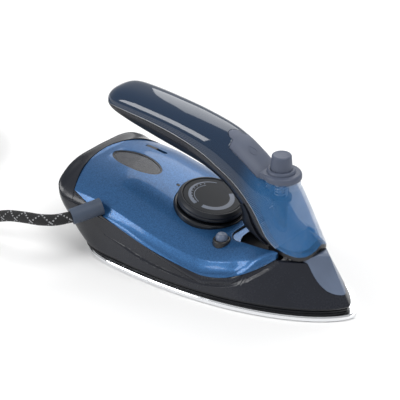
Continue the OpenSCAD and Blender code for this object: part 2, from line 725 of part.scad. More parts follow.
/* ---------- steam button and valve ---------- */
module filler_collar() {
  color(slate) difference() {
    union() {
      translate([neck_x, 0, collar_z]) cylinder(r = collar_r, h = collar_t);
      translate([steam_x, 0, collar_z]) cylinder(r = steam_r + 2.2, h = collar_t + 1.8);
      translate([bridge_x, -flap_w, collar_z]) cube([8, 2*flap_w, collar_t]);
    }
    translate([steam_x, 0, collar_z - 1]) cylinder(r = button_bore, h = 20);
    translate([0, -20, collar_z - 1]) cube([bridge_x, 40, 20]);
    translate([flap_hinge_x, 20, flap_hinge_z]) rotate([90, 0, 0]) cylinder(r = 1, h = 40);
  }
}
module steam_button() {
  r = button_bore - slide_gap;
  color(slate) translate([steam_x, 0, 0]) {
    translate([0, 0, 70]) cylinder(r = r, h = 8);
    translate([0, 0, 78]) cylinder(r1 = r, r2 = steam_r, h = steam_top - 78.6);
    translate([0, 0, steam_top - 0.6]) cylinder(r1 = steam_r, r2 = steam_r - 0.6, h = 0.6);
  }
}
module valve_needle() {
  color(steel) translate([steam_x, 0, 42]) cylinder(r = 1.5, h = 27.98);
}
module valve_body() {
  color(black) translate([steam_x, 0, 0]) difference() {
    union() {
      translate([0, 0, outlet_z]) cylinder(r = 2.6, h = 6);
      translate([0, 0, 37]) cylinder(r = valve_r, h = shelf_z - 37);
      translate([0, 0, shelf_z - 2]) cylinder(r = button_bore, h = 2);
    }
    translate([0, 0, outlet_z + 4]) cylinder(r = 1.5 + running, h = shelf_z);
    translate([0, 0, outlet_z - 1]) cylinder(r = 0.8, h = 8);
  }
}
module steam_spring() {
  color(steel) translate([steam_x, 0, shelf_z]) spring(3.6, 0.4, 5, 10);
}

/* ---------- cord ---------- */
// Route of the cord from its guard to its coil, and from the coil to the plug.
cord_route = [guard_end, [-81, -64.5, 29.5], [-89, -69.5, 29], [-98, -71.5, 28], [-112, -72.5, 24.5],
  [-126, -73.5, 18.5], [-140, -74.5, 12], [-154, -75.5, 7], [-168, -76.5, 4.8], [-182, -77.5, 4.2],
  [-200, -78.4, 4.2], [-228, -78.4, 4.2]];
tail_route = [[-290, -66, 11], [-298, -58, 10.6], [-305.5, -50.4, 11.4], [-312.2, -42.8, 13.6],
  [-317, -34.4, 16.6], [-319, -26, 18.6]];
coil_at = [-252, -28];
coil_turn_r = 50.4;
coil_layer = 3;
coil_low = 0.8;
coil_high = coil_low + 2*cord_d;
module power_cord() { color("#1a1b1f") tube(cord_route, cord_d/2); }
module cord_tail() { color("#1a1b1f") tube(tail_route, cord_d/2); }
module cord_coil() {
  inner = coil_turn_r - (coil_layer + 0.5)*cord_d;
  outer = coil_turn_r + cord_d/2;
  color("#1a1b1f") translate([coil_at.x, coil_at.y, coil_low]) rotate_extrude($fn = 72)
    polygon([[inner, 2], [inner + 2, 0], [outer - 2, 0], [outer, 2], [outer, 2*cord_d - 2],
      [outer - 2, 2*cord_d], [inner + 2, 2*cord_d], [inner, 2*cord_d - 2]]);
}
module cord_tie() {
  inner = coil_turn_r - (coil_layer + 0.5)*cord_d;
  outer = coil_turn_r + cord_d/2;
  color("#3a3c42") translate([coil_at.x, coil_at.y, 0]) rotate([90, 0, 0]) translate([0, 0, -6])
    linear_extrude(12) difference() {
      translate([inner - 1.9, 0]) square([outer - inner + 3.2, coil_high + 1]);
      translate([inner - 1.1, 0.7]) square([outer - inner + 1.6, coil_high - 0.5]);
    }
}
plug_start = [-319, -26, 18.6];
plug_r = 18;
plug_l = 54;
module plug_body() {
  color("#17181c") translate(plug_start) rotate([-90, 0, 0]) difference() {
    rotate_extrude() polygon([[0, 0], [4.6, 0], [7, 18], [12, 23], [15.5, 31], [plug_r, 38],
      [plug_r, plug_l - 1], [plug_r - 1, plug_l], [0, plug_l]]);
    for (side = [-1, 1]) translate([side*(plug_r - 0.5) - 2, -3, plug_l - 14]) cube([4, 6, 20]);
    for (side = [-1, 1]) translate([side*pin_gap/2, 0, plug_l - 6]) cylinder(r = pin_d/2 - 0.48, h = 9);
  }
}
module plug_pins() {
  color(steel) translate(plug_start) rotate([-90, 0, 0]) for (side = [-1, 1])
    translate([side*pin_gap/2, 0, plug_l - 5.9]) rotate_extrude() polygon([[0, 0], [pin_d/2 - 0.5, 0],
      [pin_d/2 - 0.5, 6.1], [pin_d/2, 6.1], [pin_d/2, 23.9], [pin_d/2 - 1, 24.9], [0, 24.9]]);
}

soleplate();
steam_chamber();
heating_element();
chamber_gasket();
chamber_cover();
heat_shield();
lower_housing();
upper_cover();
rear_cover();
nose_cover();
dial_seat();
thermostat_body();
thermostat_blade();
index_mark();
pilot_lens();
pilot_lamp();
voltage_switch();
voltage_slider();
fold_button_ring();
fold_button();
lock_pawl();
fold_spring();
hinge_pin();
hinge_brackets();
terminal_block();
thermal_fuse();
cord_clamp();
inner_leads();
body_screws();
sole_screws();
dial_knob();
dial_face();
dial_shaft();
water_tank();
tank_seal();
handle_frame();
grip_cover();
handle_foot();
filler_collar();
valve_body();
steam_spring();
handle_screws();
filler_flap();
filler_stopper();
steam_button();
valve_needle();
cord_guard();
power_cord();
cord_coil();
cord_tail();
cord_tie();
plug_body();
plug_pins();
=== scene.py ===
"""Folding-handle travel steam iron: shells, finishes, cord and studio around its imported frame.

Lengths are in millimetres inside the classes and become metres when a mesh is made.
"""

from __future__ import annotations

import json
import logging
import math
from dataclasses import dataclass, field
from enum import Enum
from typing import Iterable, Sequence

import bmesh
import bpy
import numpy as np
from mathutils import Matrix, Vector
from mathutils.bvhtree import BVHTree

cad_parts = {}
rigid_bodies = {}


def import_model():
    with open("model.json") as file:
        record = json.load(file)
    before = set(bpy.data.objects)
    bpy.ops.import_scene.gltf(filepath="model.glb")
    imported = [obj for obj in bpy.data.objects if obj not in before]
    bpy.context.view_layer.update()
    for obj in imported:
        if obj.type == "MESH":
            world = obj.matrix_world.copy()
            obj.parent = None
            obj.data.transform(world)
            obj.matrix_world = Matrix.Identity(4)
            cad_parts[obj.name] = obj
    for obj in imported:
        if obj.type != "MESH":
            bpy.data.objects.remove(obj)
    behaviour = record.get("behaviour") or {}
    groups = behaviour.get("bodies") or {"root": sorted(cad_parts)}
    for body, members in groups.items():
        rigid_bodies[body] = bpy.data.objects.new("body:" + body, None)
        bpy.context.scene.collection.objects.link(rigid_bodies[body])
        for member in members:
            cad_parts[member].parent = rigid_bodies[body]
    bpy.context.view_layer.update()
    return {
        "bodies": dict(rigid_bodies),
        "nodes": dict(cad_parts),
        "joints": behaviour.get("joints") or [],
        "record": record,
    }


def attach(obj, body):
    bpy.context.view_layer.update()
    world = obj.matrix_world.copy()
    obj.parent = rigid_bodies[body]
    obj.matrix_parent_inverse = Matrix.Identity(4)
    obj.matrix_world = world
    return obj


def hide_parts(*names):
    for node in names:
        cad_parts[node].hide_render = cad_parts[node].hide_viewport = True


LOG = logging.getLogger("iron")
MM = 0.001
Point = Sequence[float]
Colour = tuple[float, float, float]


# ---------------------------------------------------------------- shader building


class Value:
    """One number that varies over a surface, written with ordinary operators."""

    def __init__(self, shader: "Shader", socket: bpy.types.NodeSocket) -> None:
        """Wraps a socket of the shader's tree."""
        self.shader = shader
        self.socket = socket

    def math(self, operation: str, *others: "Value | float") -> "Value":
        """One Math node.

        Args:
            operation: Blender's name of the operation.
            others: the second and third operands, if it has them.

        Returns:
            The node's result.
        """
        return self.shader.value("ShaderNodeMath", {"operation": operation}, self, *others)

    def __add__(self, other: "Value | float") -> "Value":
        """Sum."""
        return self.math("ADD", other)

    __radd__ = __add__

    def __sub__(self, other: "Value | float") -> "Value":
        """Difference."""
        return self.math("SUBTRACT", other)

    def __rsub__(self, other: float) -> "Value":
        """Difference with the number first."""
        return self.math("MULTIPLY", -1.0).math("ADD", other)

    def __mul__(self, other: "Value | float") -> "Value":
        """Product."""
        return self.math("MULTIPLY", other)

    __rmul__ = __mul__

    def __truediv__(self, other: "Value | float") -> "Value":
        """Quotient."""
        return self.math("DIVIDE", other)

    def sin(self) -> "Value":
        """Sine of the value in radians."""
        return self.math("SINE")

    def size(self) -> "Value":
        """Absolute value."""
        return self.math("ABSOLUTE")

    def least(self, other: "Value | float") -> "Value":
        """The smaller of two."""
        return self.math("MINIMUM", other)

    def most(self, other: "Value | float") -> "Value":
        """The larger of two."""
        return self.math("MAXIMUM", other)

    def fraction(self) -> "Value":
        """What is left after the whole number."""
        return self.math("FRACT")

    def step(self, low: float, high: float) -> "Value":
        """A smooth rise from 0 at low to 1 at high, or a fall where high is the smaller."""
        if high < low:
            return 1 - self.step(high, low)
        return self.shader.value("ShaderNodeMapRange", {"interpolation_type": "SMOOTHSTEP"},
                                 self, low, high, 0.0, 1.0)


class Shader:
    """A material and the few calls that fill its node tree."""

    def __init__(self, name: str) -> None:
        """Makes a material with one Principled shader."""
        self.material = bpy.data.materials.new(name)
        self.material.use_nodes = True
        self.tree = self.material.node_tree
        self.surface = self.tree.nodes["Principled BSDF"]
        self._where: bpy.types.NodeSocket | None = None

    def node(self, kind: str, settings: dict[str, object], *inputs: object) -> bpy.types.Node:
        """Adds a node.

        Args:
            kind: Blender's node type.
            settings: properties that are set before the inputs.
            inputs: values or links of its first sockets that are switched on; None skips one.

        Returns:
            The new node.
        """
        made = self.tree.nodes.new(kind)
        for name, value in settings.items():
            setattr(made, name, value)
        sockets = [s for s in made.inputs if s.enabled]
        for socket, given in zip(sockets, inputs):
            if given is None:
                continue
            self.feed(socket, given)
        return made

    def feed(self, socket: bpy.types.NodeSocket, given: object) -> None:
        """Links or sets one socket."""
        if isinstance(given, Value):
            self.tree.links.new(given.socket, socket)
        elif isinstance(given, bpy.types.NodeSocket):
            self.tree.links.new(given, socket)
        elif isinstance(given, (tuple, list)) and (len(given), len(socket.default_value)) == (3, 4):
            socket.default_value = (*given, 1.0)
        else:
            socket.default_value = given

    def value(self, kind: str, settings: dict[str, object], *inputs: object) -> Value:
        """Adds a node and gives its first result as a value."""
        made = self.node(kind, settings, *inputs)
        return Value(self, next(s for s in made.outputs if s.enabled))

    def where(self) -> bpy.types.NodeSocket:
        """The place on the piece, in metres."""
        if self._where is None:
            self._where = self.node("ShaderNodeTexCoord", {}).outputs["Object"]
        return self._where

    def axes(self) -> list[Value]:
        """The place on the piece as x, y and z in millimetres."""
        parts = self.node("ShaderNodeSeparateXYZ", {}, self.where())
        return [Value(self, s) * 1000 for s in parts.outputs]

    def noise(self, per_metre: float, detail: float = 2.0, rough: float = 0.5) -> Value:
        """Soft noise with that many waves to the metre."""
        return self.value("ShaderNodeTexNoise", {}, self.where(), per_metre, detail, rough)

    def cells(self, per_metre: float) -> bpy.types.Node:
        """Random cells, as flakes have them."""
        return self.node("ShaderNodeTexVoronoi", {}, self.where(), per_metre)

    def blend(self, share: "Value | float", low: object, high: object) -> bpy.types.NodeSocket:
        """A colour between two."""
        made = self.tree.nodes.new("ShaderNodeMix")
        made.data_type = "RGBA"
        self.feed(made.inputs[0], share)
        self.feed(made.inputs[6], low)
        self.feed(made.inputs[7], high)
        return made.outputs[2]

    def bump(self, height: Value, depth: float, strength: float = 1.0) -> bpy.types.NodeSocket:
        """A normal from a height.

        Args:
            height: the height, from 0 to 1.
            depth: what a height of 1 stands for, in millimetres.
            strength: share of the effect.

        Returns:
            The normal.
        """
        made = self.node("ShaderNodeBump", {}, strength, depth * MM)
        self.feed(made.inputs["Height"], height)
        return made.outputs["Normal"]

    def dress(self, **inputs: object) -> bpy.types.Material:
        """Sets the Principled shader's sockets, with _ for a space in their names."""
        for name, given in inputs.items():
            self.feed(self.surface.inputs[name.replace("_", " ")], given)
        return self.material


@dataclass(frozen=True)
class Moulded:
    """Injection-moulded plastic or rubber with a fine grain and slight handling marks."""

    name: str
    colour: Colour
    roughness: float = 0.4
    grain: float = 0.02
    grain_waves: float = 2600.0
    coat: float = 0.0
    contrast: float = 0.12
    shine: float = 0.5

    def make(self) -> bpy.types.Material:
        """Builds the material."""
        s = Shader(self.name)
        cloud = s.noise(38, 3)
        fine = s.noise(self.grain_waves, 2)
        light = tuple(min(1.0, c * (1 + self.contrast)) for c in self.colour)
        dark = tuple(c * (1 - self.contrast) for c in self.colour)
        return s.dress(
            Base_Color=s.blend(cloud.step(0.3, 0.7), dark, light),
            Roughness=(cloud * 0.10 + fine * 0.06 + (self.roughness - 0.08)).least(1.0),
            Normal=s.bump(fine, self.grain), Coat_Weight=self.coat, Coat_Roughness=0.06,
            Specular_IOR_Level=self.shine)


@dataclass(frozen=True)
class FlakeLacquer:
    """Metallic lacquer: fine bright flakes under a clear coat."""

    name: str
    deep: Colour
    pale: Colour

    def make(self) -> bpy.types.Material:
        """Builds the material."""
        s = Shader(self.name)
        flake = Value(s, s.cells(3600).outputs["Color"])
        glint = flake.step(0.25, 0.95)
        cloud = s.noise(900, 2)
        tone = (glint * 0.45 + cloud * 0.55).step(0.0, 1.1)
        return s.dress(
            Base_Color=s.blend(tone, self.deep, self.pale), Metallic=0.62,
            Roughness=glint * -0.1 + 0.46, Normal=s.bump(flake, 0.004, 0.4),
            Coat_Weight=0.35, Coat_Roughness=0.08)


@dataclass(frozen=True)
class PlainMetal:
    """Bare metal with faint drawing lines along x."""

    name: str
    colour: Colour
    roughness: float = 0.25
    stretch: float = 12.0

    def make(self) -> bpy.types.Material:
        """Builds the material."""
        s = Shader(self.name)
        drawn = s.node("ShaderNodeMapping", {}, s.where(), (0, 0, 0), (0, 0, 0),
                       (1.0, self.stretch, self.stretch))
        lines = s.value("ShaderNodeTexNoise", {}, drawn.outputs[0], 260.0, 4.0, 0.6)
        cloud = s.noise(55, 3)
        pale = tuple(min(1.0, c * 1.08) for c in self.colour)
        return s.dress(
            Base_Color=s.blend(lines.step(0.3, 0.7), self.colour, pale), Metallic=1.0,
            Roughness=lines * 0.16 + cloud * 0.08 + (self.roughness - 0.1),
            Normal=s.bump(lines, 0.01, 0.5))


@dataclass(frozen=True)
class ClearTank:
    """Transparent tinted plastic, deeper where the wall lies over the dark grip."""

    name: str
    deep: Colour
    pale: Colour
    clear_from: float
    clear_to: float

    def make(self) -> bpy.types.Material:
        """Builds the material."""
        s = Shader(self.name)
        x, _, _ = s.axes()
        cloud = s.noise(60, 2)
        front = (x + cloud * 6 - 3).step(self.clear_from, self.clear_to)
        return s.dress(
            Base_Color=s.blend(front, self.deep, self.pale), Roughness=cloud * 0.03 + 0.02,
            Alpha=front * -0.56 + 0.96, Normal=s.bump(cloud, 0.06, 0.35),
            Coat_Weight=0.25, Coat_Roughness=0.02, IOR=1.45)


@dataclass(frozen=True)
class SmokedWindow:
    """Dark transparent plastic with fine moulded lines across it."""

    name: str
    colour: Colour
    pitch: float

    def make(self) -> bpy.types.Material:
        """Builds the material."""
        s = Shader(self.name)
        x, _, _ = s.axes()
        ribs = (x * (math.tau / self.pitch)).sin() * 0.5 + 0.5
        cloud = s.noise(80, 2)
        pale = tuple(c * 2.2 + 0.01 for c in self.colour)
        return s.dress(
            Base_Color=s.blend(ribs * 0.6, self.colour, pale), Roughness=cloud * 0.1 + 0.1,
            Alpha=0.94, Normal=s.bump(ribs, 0.10, 0.7), Coat_Weight=0.15, Coat_Roughness=0.05,
            Specular_IOR_Level=0.35)


@dataclass(frozen=True)
class Braid:
    """Woven textile sleeve with pale threads among dark ones; it follows the cord's own map."""

    name: str
    dark: Colour
    pale: Colour
    carriers: int = 16
    lay_mm: float = 22.0

    def make(self) -> bpy.types.Material:
        """Builds the material."""
        s = Shader(self.name)
        parts = s.node("ShaderNodeSeparateXYZ", {}, s.node("ShaderNodeUVMap", {}).outputs[0])
        around, along = Value(s, parts.outputs[0]), Value(s, parts.outputs[1])
        turn = along * (1000 / self.lay_mm)
        left, right = turn + around, turn - around
        weave = [(way * math.tau * self.carriers / 2).sin() for way in (left, right)]
        over = weave[0] * weave[1]
        marks = [(way * self.carriers / 8).fraction().step(0.16, 0.11) for way in (left, right)]
        pale = (marks[0] * over.step(0.05, 0.3)).most(marks[1] * over.step(-0.05, -0.3))
        fine = s.noise(3200, 2)
        height = over.size() * 0.8 + fine * 0.2
        tone = s.blend(fine.step(0.3, 0.75), tuple(c * 0.6 for c in self.dark), self.dark)
        return s.dress(
            Base_Color=s.blend(pale * (fine * 0.5 + 0.6).least(1.0), tone, self.pale),
            Roughness=fine * 0.2 + 0.6, Normal=s.bump(height, 0.5, 1.0))


class Slot(Enum):
    """The record's material slots."""

    SOLE = "sole_steel"
    CAST = "cast_alloy"
    ELEMENT = "element_sheath"
    GASKET = "silicone"
    SHIELD = "shield_black"
    HOUSING = "graphite_gloss"
    LACQUER = "blue_metallic"
    HEEL = "heel_gloss"
    SLATE = "slate_plastic"
    DIAL_RING = "dial_black"
    KNOB = "dial_knob_dark"
    PRINT = "dial_print"
    CERAMIC = "ceramic_body"
    BRASS = "spring_brass"
    STEEL = "steel_plain"
    LENS = "smoked_lens"
    LAMP = "lamp_orange"
    BLACK = "black_plastic"
    TANK = "tank_blue"
    SEAL = "seal_black"
    GRIP = "grip_black"
    FLAP = "flap_grey"
    BRAID = "cord_braid"
    GUARD = "guard_grey"
    TIE = "tie_grey"
    PLUG = "plug_black"
    PIN = "pin_nickel"
    LEADS = "lead_sheath"
    BLOCK = "block_ivory"


class Palette:
    """Every finish of the iron, made once and kept by slot."""

    def __init__(self) -> None:
        """Builds all the materials."""
        recipes = {
            Slot.SOLE: PlainMetal("polished_sole", (0.80, 0.81, 0.83), 0.16),
            Slot.CAST: PlainMetal("cast_alloy", (0.52, 0.52, 0.54), 0.5, 1.0),
            Slot.ELEMENT: PlainMetal("element_sheath", (0.35, 0.34, 0.34), 0.45, 1.0),
            Slot.GASKET: Moulded("silicone_gasket", (0.50, 0.16, 0.08), 0.6),
            Slot.SHIELD: Moulded("heat_shield_black", (0.005, 0.006, 0.009), 0.36, 0.02, shine=0.3),
            Slot.HOUSING: Moulded("graphite_gloss", (0.0095, 0.0115, 0.0185), 0.26, 0.004, 900,
                                  0.12, shine=0.36),
            Slot.LACQUER: FlakeLacquer("blue_flake_lacquer", (0.013, 0.068, 0.185),
                                       (0.040, 0.160, 0.380)),
            Slot.HEEL: Moulded("heel_gloss", (0.010, 0.0125, 0.020), 0.24, 0.004, 900, 0.12,
                               shine=0.36),
            Slot.SLATE: Moulded("slate_satin", (0.112, 0.145, 0.215), 0.34, 0.015, shine=0.4),
            Slot.DIAL_RING: Moulded("dial_ring_black", (0.007, 0.009, 0.013), 0.3, 0.01, shine=0.4),
            Slot.KNOB: Moulded("knob_charcoal", (0.013, 0.016, 0.023), 0.38, 0.02, shine=0.35),
            Slot.PRINT: Moulded("dial_plate", (0.010, 0.013, 0.019), 0.5, 0.01, shine=0.2),
            Slot.CERAMIC: Moulded("ceramic_body", (0.74, 0.70, 0.62), 0.25, 0.01),
            Slot.BRASS: PlainMetal("spring_brass", (0.72, 0.52, 0.22), 0.3),
            Slot.STEEL: PlainMetal("plain_steel", (0.62, 0.63, 0.65), 0.3),
            Slot.LENS: SmokedWindow("smoked_window", (0.012, 0.016, 0.026), 1.1),
            Slot.LAMP: Moulded("lamp_amber", (0.75, 0.22, 0.04), 0.15, 0.005, 900, 1.0),
            Slot.BLACK: Moulded("satin_black", (0.012, 0.0125, 0.015), 0.4),
            Slot.TANK: ClearTank("tank_tint", (0.007, 0.024, 0.058), (0.030, 0.170, 0.420),
                                 12.0, 38.0),
            Slot.SEAL: Moulded("seal_rubber", (0.006, 0.006, 0.007), 0.55),
            Slot.GRIP: Moulded("grip_soft", (0.0045, 0.006, 0.010), 0.42, 0.03, shine=0.28),
            Slot.FLAP: Moulded("flap_rubber", (0.074, 0.089, 0.132), 0.45, 0.03, shine=0.35),
            Slot.BRAID: Braid("cord_braid", (0.010, 0.010, 0.012), (0.45, 0.46, 0.48)),
            Slot.GUARD: Moulded("guard_rubber", (0.052, 0.070, 0.105), 0.48, 0.03, shine=0.35),
            Slot.TIE: Moulded("tie_fabric", (0.02, 0.02, 0.024), 0.9, 0.12, 1400),
            Slot.PLUG: Moulded("plug_black", (0.010, 0.010, 0.012), 0.3),
            Slot.PIN: PlainMetal("pin_nickel", (0.70, 0.69, 0.66), 0.2),
            Slot.LEADS: Moulded("lead_sleeve", (0.36, 0.13, 0.05), 0.8, 0.1, 1500),
            Slot.BLOCK: Moulded("terminal_ivory", (0.70, 0.67, 0.58), 0.4),
        }
        self.kept = {slot: recipe.make() for slot, recipe in recipes.items()}

    def __getitem__(self, slot: Slot) -> bpy.types.Material:
        """The material of a slot."""
        return self.kept[slot]


# ---------------------------------------------------------------- mesh building


def smooth(t: np.ndarray | float) -> np.ndarray:
    """A smooth rise from 0 to 1 over the same range."""
    c = np.clip(t, 0, 1)
    return c * c * (3 - 2 * c)


def object_from(name: str, mesh: bpy.types.Mesh) -> bpy.types.Object:
    """Puts a mesh into the scene as an object."""
    made = bpy.data.objects.new(name, mesh)
    bpy.context.scene.collection.objects.link(made)
    return made


def solid(name: str, points: Iterable[Point], faces: Iterable[Sequence[int]]) -> bpy.types.Object:
    """A closed solid.

    Args:
        name: the object's name.
        points: its corners in millimetres.
        faces: its faces as lists of corners.

    Returns:
        The object, with doubles merged and its faces turned outwards.
    """
    mesh = bpy.data.meshes.new(name)
    metres = [tuple(float(c) * MM for c in p) for p in points]
    mesh.from_pydata(metres, [], [list(f) for f in faces])
    shape = bmesh.new()
    shape.from_mesh(mesh)
    bmesh.ops.remove_doubles(shape, verts=shape.verts, dist=2e-6)
    bmesh.ops.dissolve_degenerate(shape, edges=shape.edges, dist=1e-7)
    bmesh.ops.recalc_face_normals(shape, faces=shape.faces)
    shape.to_mesh(mesh)
    shape.free()
    return object_from(name, mesh)


def bands(rings: int, around: int, closed: bool = False) -> list[tuple[int, ...]]:
    """Faces between neighbouring rings of points.

    Args:
        rings: how many rings there are.
        around: points in each ring.
        closed: whether the last ring meets the first.

    Returns:
        The faces as corners' numbers.
    """
    return [(k * around + i, k * around + (i + 1) % around,
             (k + 1) % rings * around + (i + 1) % around, (k + 1) % rings * around + i)
            for k in range(rings if closed else rings - 1) for i in range(around)]


def rounded_plan(x0: float, x1: float, width: float, r: float) -> list[tuple[float, float]]:
    """A round-cornered rectangle from x0 to x1, about the line y = 0."""
    out = []
    for cx, cy, start in ((x1 - r, width / 2 - r, 0), (x0 + r, width / 2 - r, 90),
                          (x0 + r, r - width / 2, 180), (x1 - r, r - width / 2, 270)):
        for k in range(9):
            t = math.radians(start + k * 90 / 8)
            out.append((cx + r * math.cos(t), cy + r * math.sin(t)))
    return out


def distances(line: np.ndarray) -> np.ndarray:
    """How far along a line each of its points lies."""
    return np.r_[0, np.cumsum(np.linalg.norm(np.diff(line, axis=0), axis=1))]


def skin(name: str, rings: Sequence[np.ndarray]) -> bpy.types.Object:
    """Joins rings of the same number of points into a closed solid with a fan at each end."""
    stack = np.array(rings, float)
    m, n, _ = stack.shape
    points = list(stack.reshape(-1, 3)) + [stack[0].mean(0), stack[-1].mean(0)]
    faces = bands(m, n)
    faces += [((i + 1) % n, i, m * n) for i in range(n)]
    faces += [((m - 1) * n + i, (m - 1) * n + (i + 1) % n, m * n + 1) for i in range(n)]
    return solid(name, points, faces)


def prism(name: str, outline: Sequence[Sequence[float]], low: float, high: float,
          place: Matrix | None = None) -> bpy.types.Object:
    """A straight prism of a plan outline between two heights, put where place says."""
    place = place or Matrix.Identity(4)
    rings = [[place @ Vector((p[0], p[1], z)) for p in outline] for z in (low, high)]
    n = len(outline)
    faces = [(i, (i + 1) % n, n + (i + 1) % n, n + i) for i in range(n)]
    faces += [tuple(range(n)), tuple(range(n, 2 * n))]
    return solid(name, [p for r in rings for p in r], faces)


def box(name: str, low: Point, high: Point) -> bpy.types.Object:
    """A plain cutter block between two corners."""
    plan = [(low[0], low[1]), (high[0], low[1]), (high[0], high[1]), (low[0], high[1])]
    return prism(name, plan, low[2], high[2])


def fillet(corners: Sequence[tuple[float, float, float]],
           steps: int = 5) -> list[tuple[float, float]]:
    """A profile with rounded corners.

    Args:
        corners: radius, height and corner radius of each corner, in order.
        steps: points for each rounding.

    Returns:
        The profile's points.
    """
    out: list[tuple[float, float]] = []
    for i, (x, z, r) in enumerate(corners):
        here = Vector((x, z))
        if r <= 0 or i in (0, len(corners) - 1):
            out.append((x, z))
            continue
        back = Vector(corners[i - 1][:2]) - here
        ahead = Vector(corners[i + 1][:2]) - here
        reach = min(r, back.length * 0.49, ahead.length * 0.49)
        a, b = here + back.normalized() * reach, here + ahead.normalized() * reach
        for k in range(steps + 1):
            t = k / steps
            p = a * (1 - t) ** 2 + here * 2 * t * (1 - t) + b * t * t
            out.append((p.x, p.y))
    return out


def lathe(name: str, profile: Sequence[Sequence[float]], place: Matrix | None = None,
          sides: int = 96) -> bpy.types.Object:
    """Turns a profile of radius and height about the z axis, closed where it meets the axis."""
    place = place or Matrix.Identity(4)
    rings = []
    for k in range(sides):
        a = k * math.tau / sides
        rings.append([place @ Vector((r * math.cos(a), r * math.sin(a), z)) for r, z in profile])
    n, points = len(profile), [p for r in rings for p in r]
    closed = profile[0][0] > 1e-6 or profile[-1][0] > 1e-6
    faces = [(k * n + i, ((k + 1) % sides) * n + i, ((k + 1) % sides) * n + (i + 1) % n,
              k * n + (i + 1) % n) for k in range(sides) for i in range(n if closed else n - 1)]
    return solid(name, points, faces)


def post(name: str, place: Matrix, r: float, low: float, high: float, sides: int = 72,
         top_r: float | None = None) -> bpy.types.Object:
    """A post about the z axis of place, r wide below and top_r above, if that is given."""
    top = r if top_r is None else top_r
    return lathe(name, [(0, low), (r, low), (top, high), (0, high)], place, sides)


def settle(piece: bpy.types.Object) -> bpy.types.Object:
    """Turns what the piece's modifiers make of it into its plain mesh."""
    view = bpy.context.evaluated_depsgraph_get()
    shaped = bpy.data.meshes.new_from_object(piece.evaluated_get(view))
    piece.modifiers.clear()
    piece.data = shaped
    return piece


def carve(piece: bpy.types.Object, cutter: bpy.types.Object, operation: str = "DIFFERENCE",
          keep: bool = False) -> bpy.types.Object:
    """Cuts, joins or intersects a piece with a cutter, which is then removed unless it is kept."""
    step = piece.modifiers.new("carve", "BOOLEAN")
    step.operation, step.solver, step.object = operation, "MANIFOLD", cutter
    settle(piece)
    if not keep:
        bpy.data.objects.remove(cutter)
    return piece


def soften(piece: bpy.types.Object, width: float, segments: int = 2,
           angle: float = 35) -> bpy.types.Object:
    """Rounds the piece's sharp edges by a width in millimetres."""
    step = piece.modifiers.new("soften", "BEVEL")
    step.width, step.segments, step.limit_method = width * MM, segments, "ANGLE"
    step.angle_limit, step.harden_normals = math.radians(angle), False
    return settle(piece)


def join(pieces: Sequence[bpy.types.Object]) -> bpy.types.Object:
    """Joins separate meshes into the first one."""
    shape = bmesh.new()
    for piece in pieces:
        shape.from_mesh(piece.data)
    shape.to_mesh(pieces[0].data)
    shape.free()
    for piece in pieces[1:]:
        bpy.data.objects.remove(piece)
    return pieces[0]


class Build:
    """Puts finished pieces on their bodies with their finish."""

    def __init__(self, palette: Palette) -> None:
        """Keeps the finishes."""
        self.palette = palette

    def place(self, piece: bpy.types.Object, body: str, slot: Slot, nodes: Sequence[str] = (),
              sharp: float = 32.0) -> bpy.types.Object:
        """Finishes one piece.

        Args:
            piece: the piece's object.
            body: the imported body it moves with.
            slot: its finish.
            nodes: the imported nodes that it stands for.
            sharp: edges that turn by more than this stay sharp, in degrees.

        Returns:
            The piece.
        """
        mesh = piece.data
        mesh.materials.clear()
        mesh.materials.append(self.palette[slot])
        mesh.polygons.foreach_set("use_smooth", [True] * len(mesh.polygons))
        mesh.polygons.foreach_set("material_index", [0] * len(mesh.polygons))
        mesh.set_sharp_from_angle(angle=math.radians(sharp))
        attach(piece, body)
        if nodes:
            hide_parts(*nodes)
        LOG.info("%s on %s: %d faces", piece.name, body, len(mesh.polygons))
        return piece


# ---------------------------------------------------------------- body


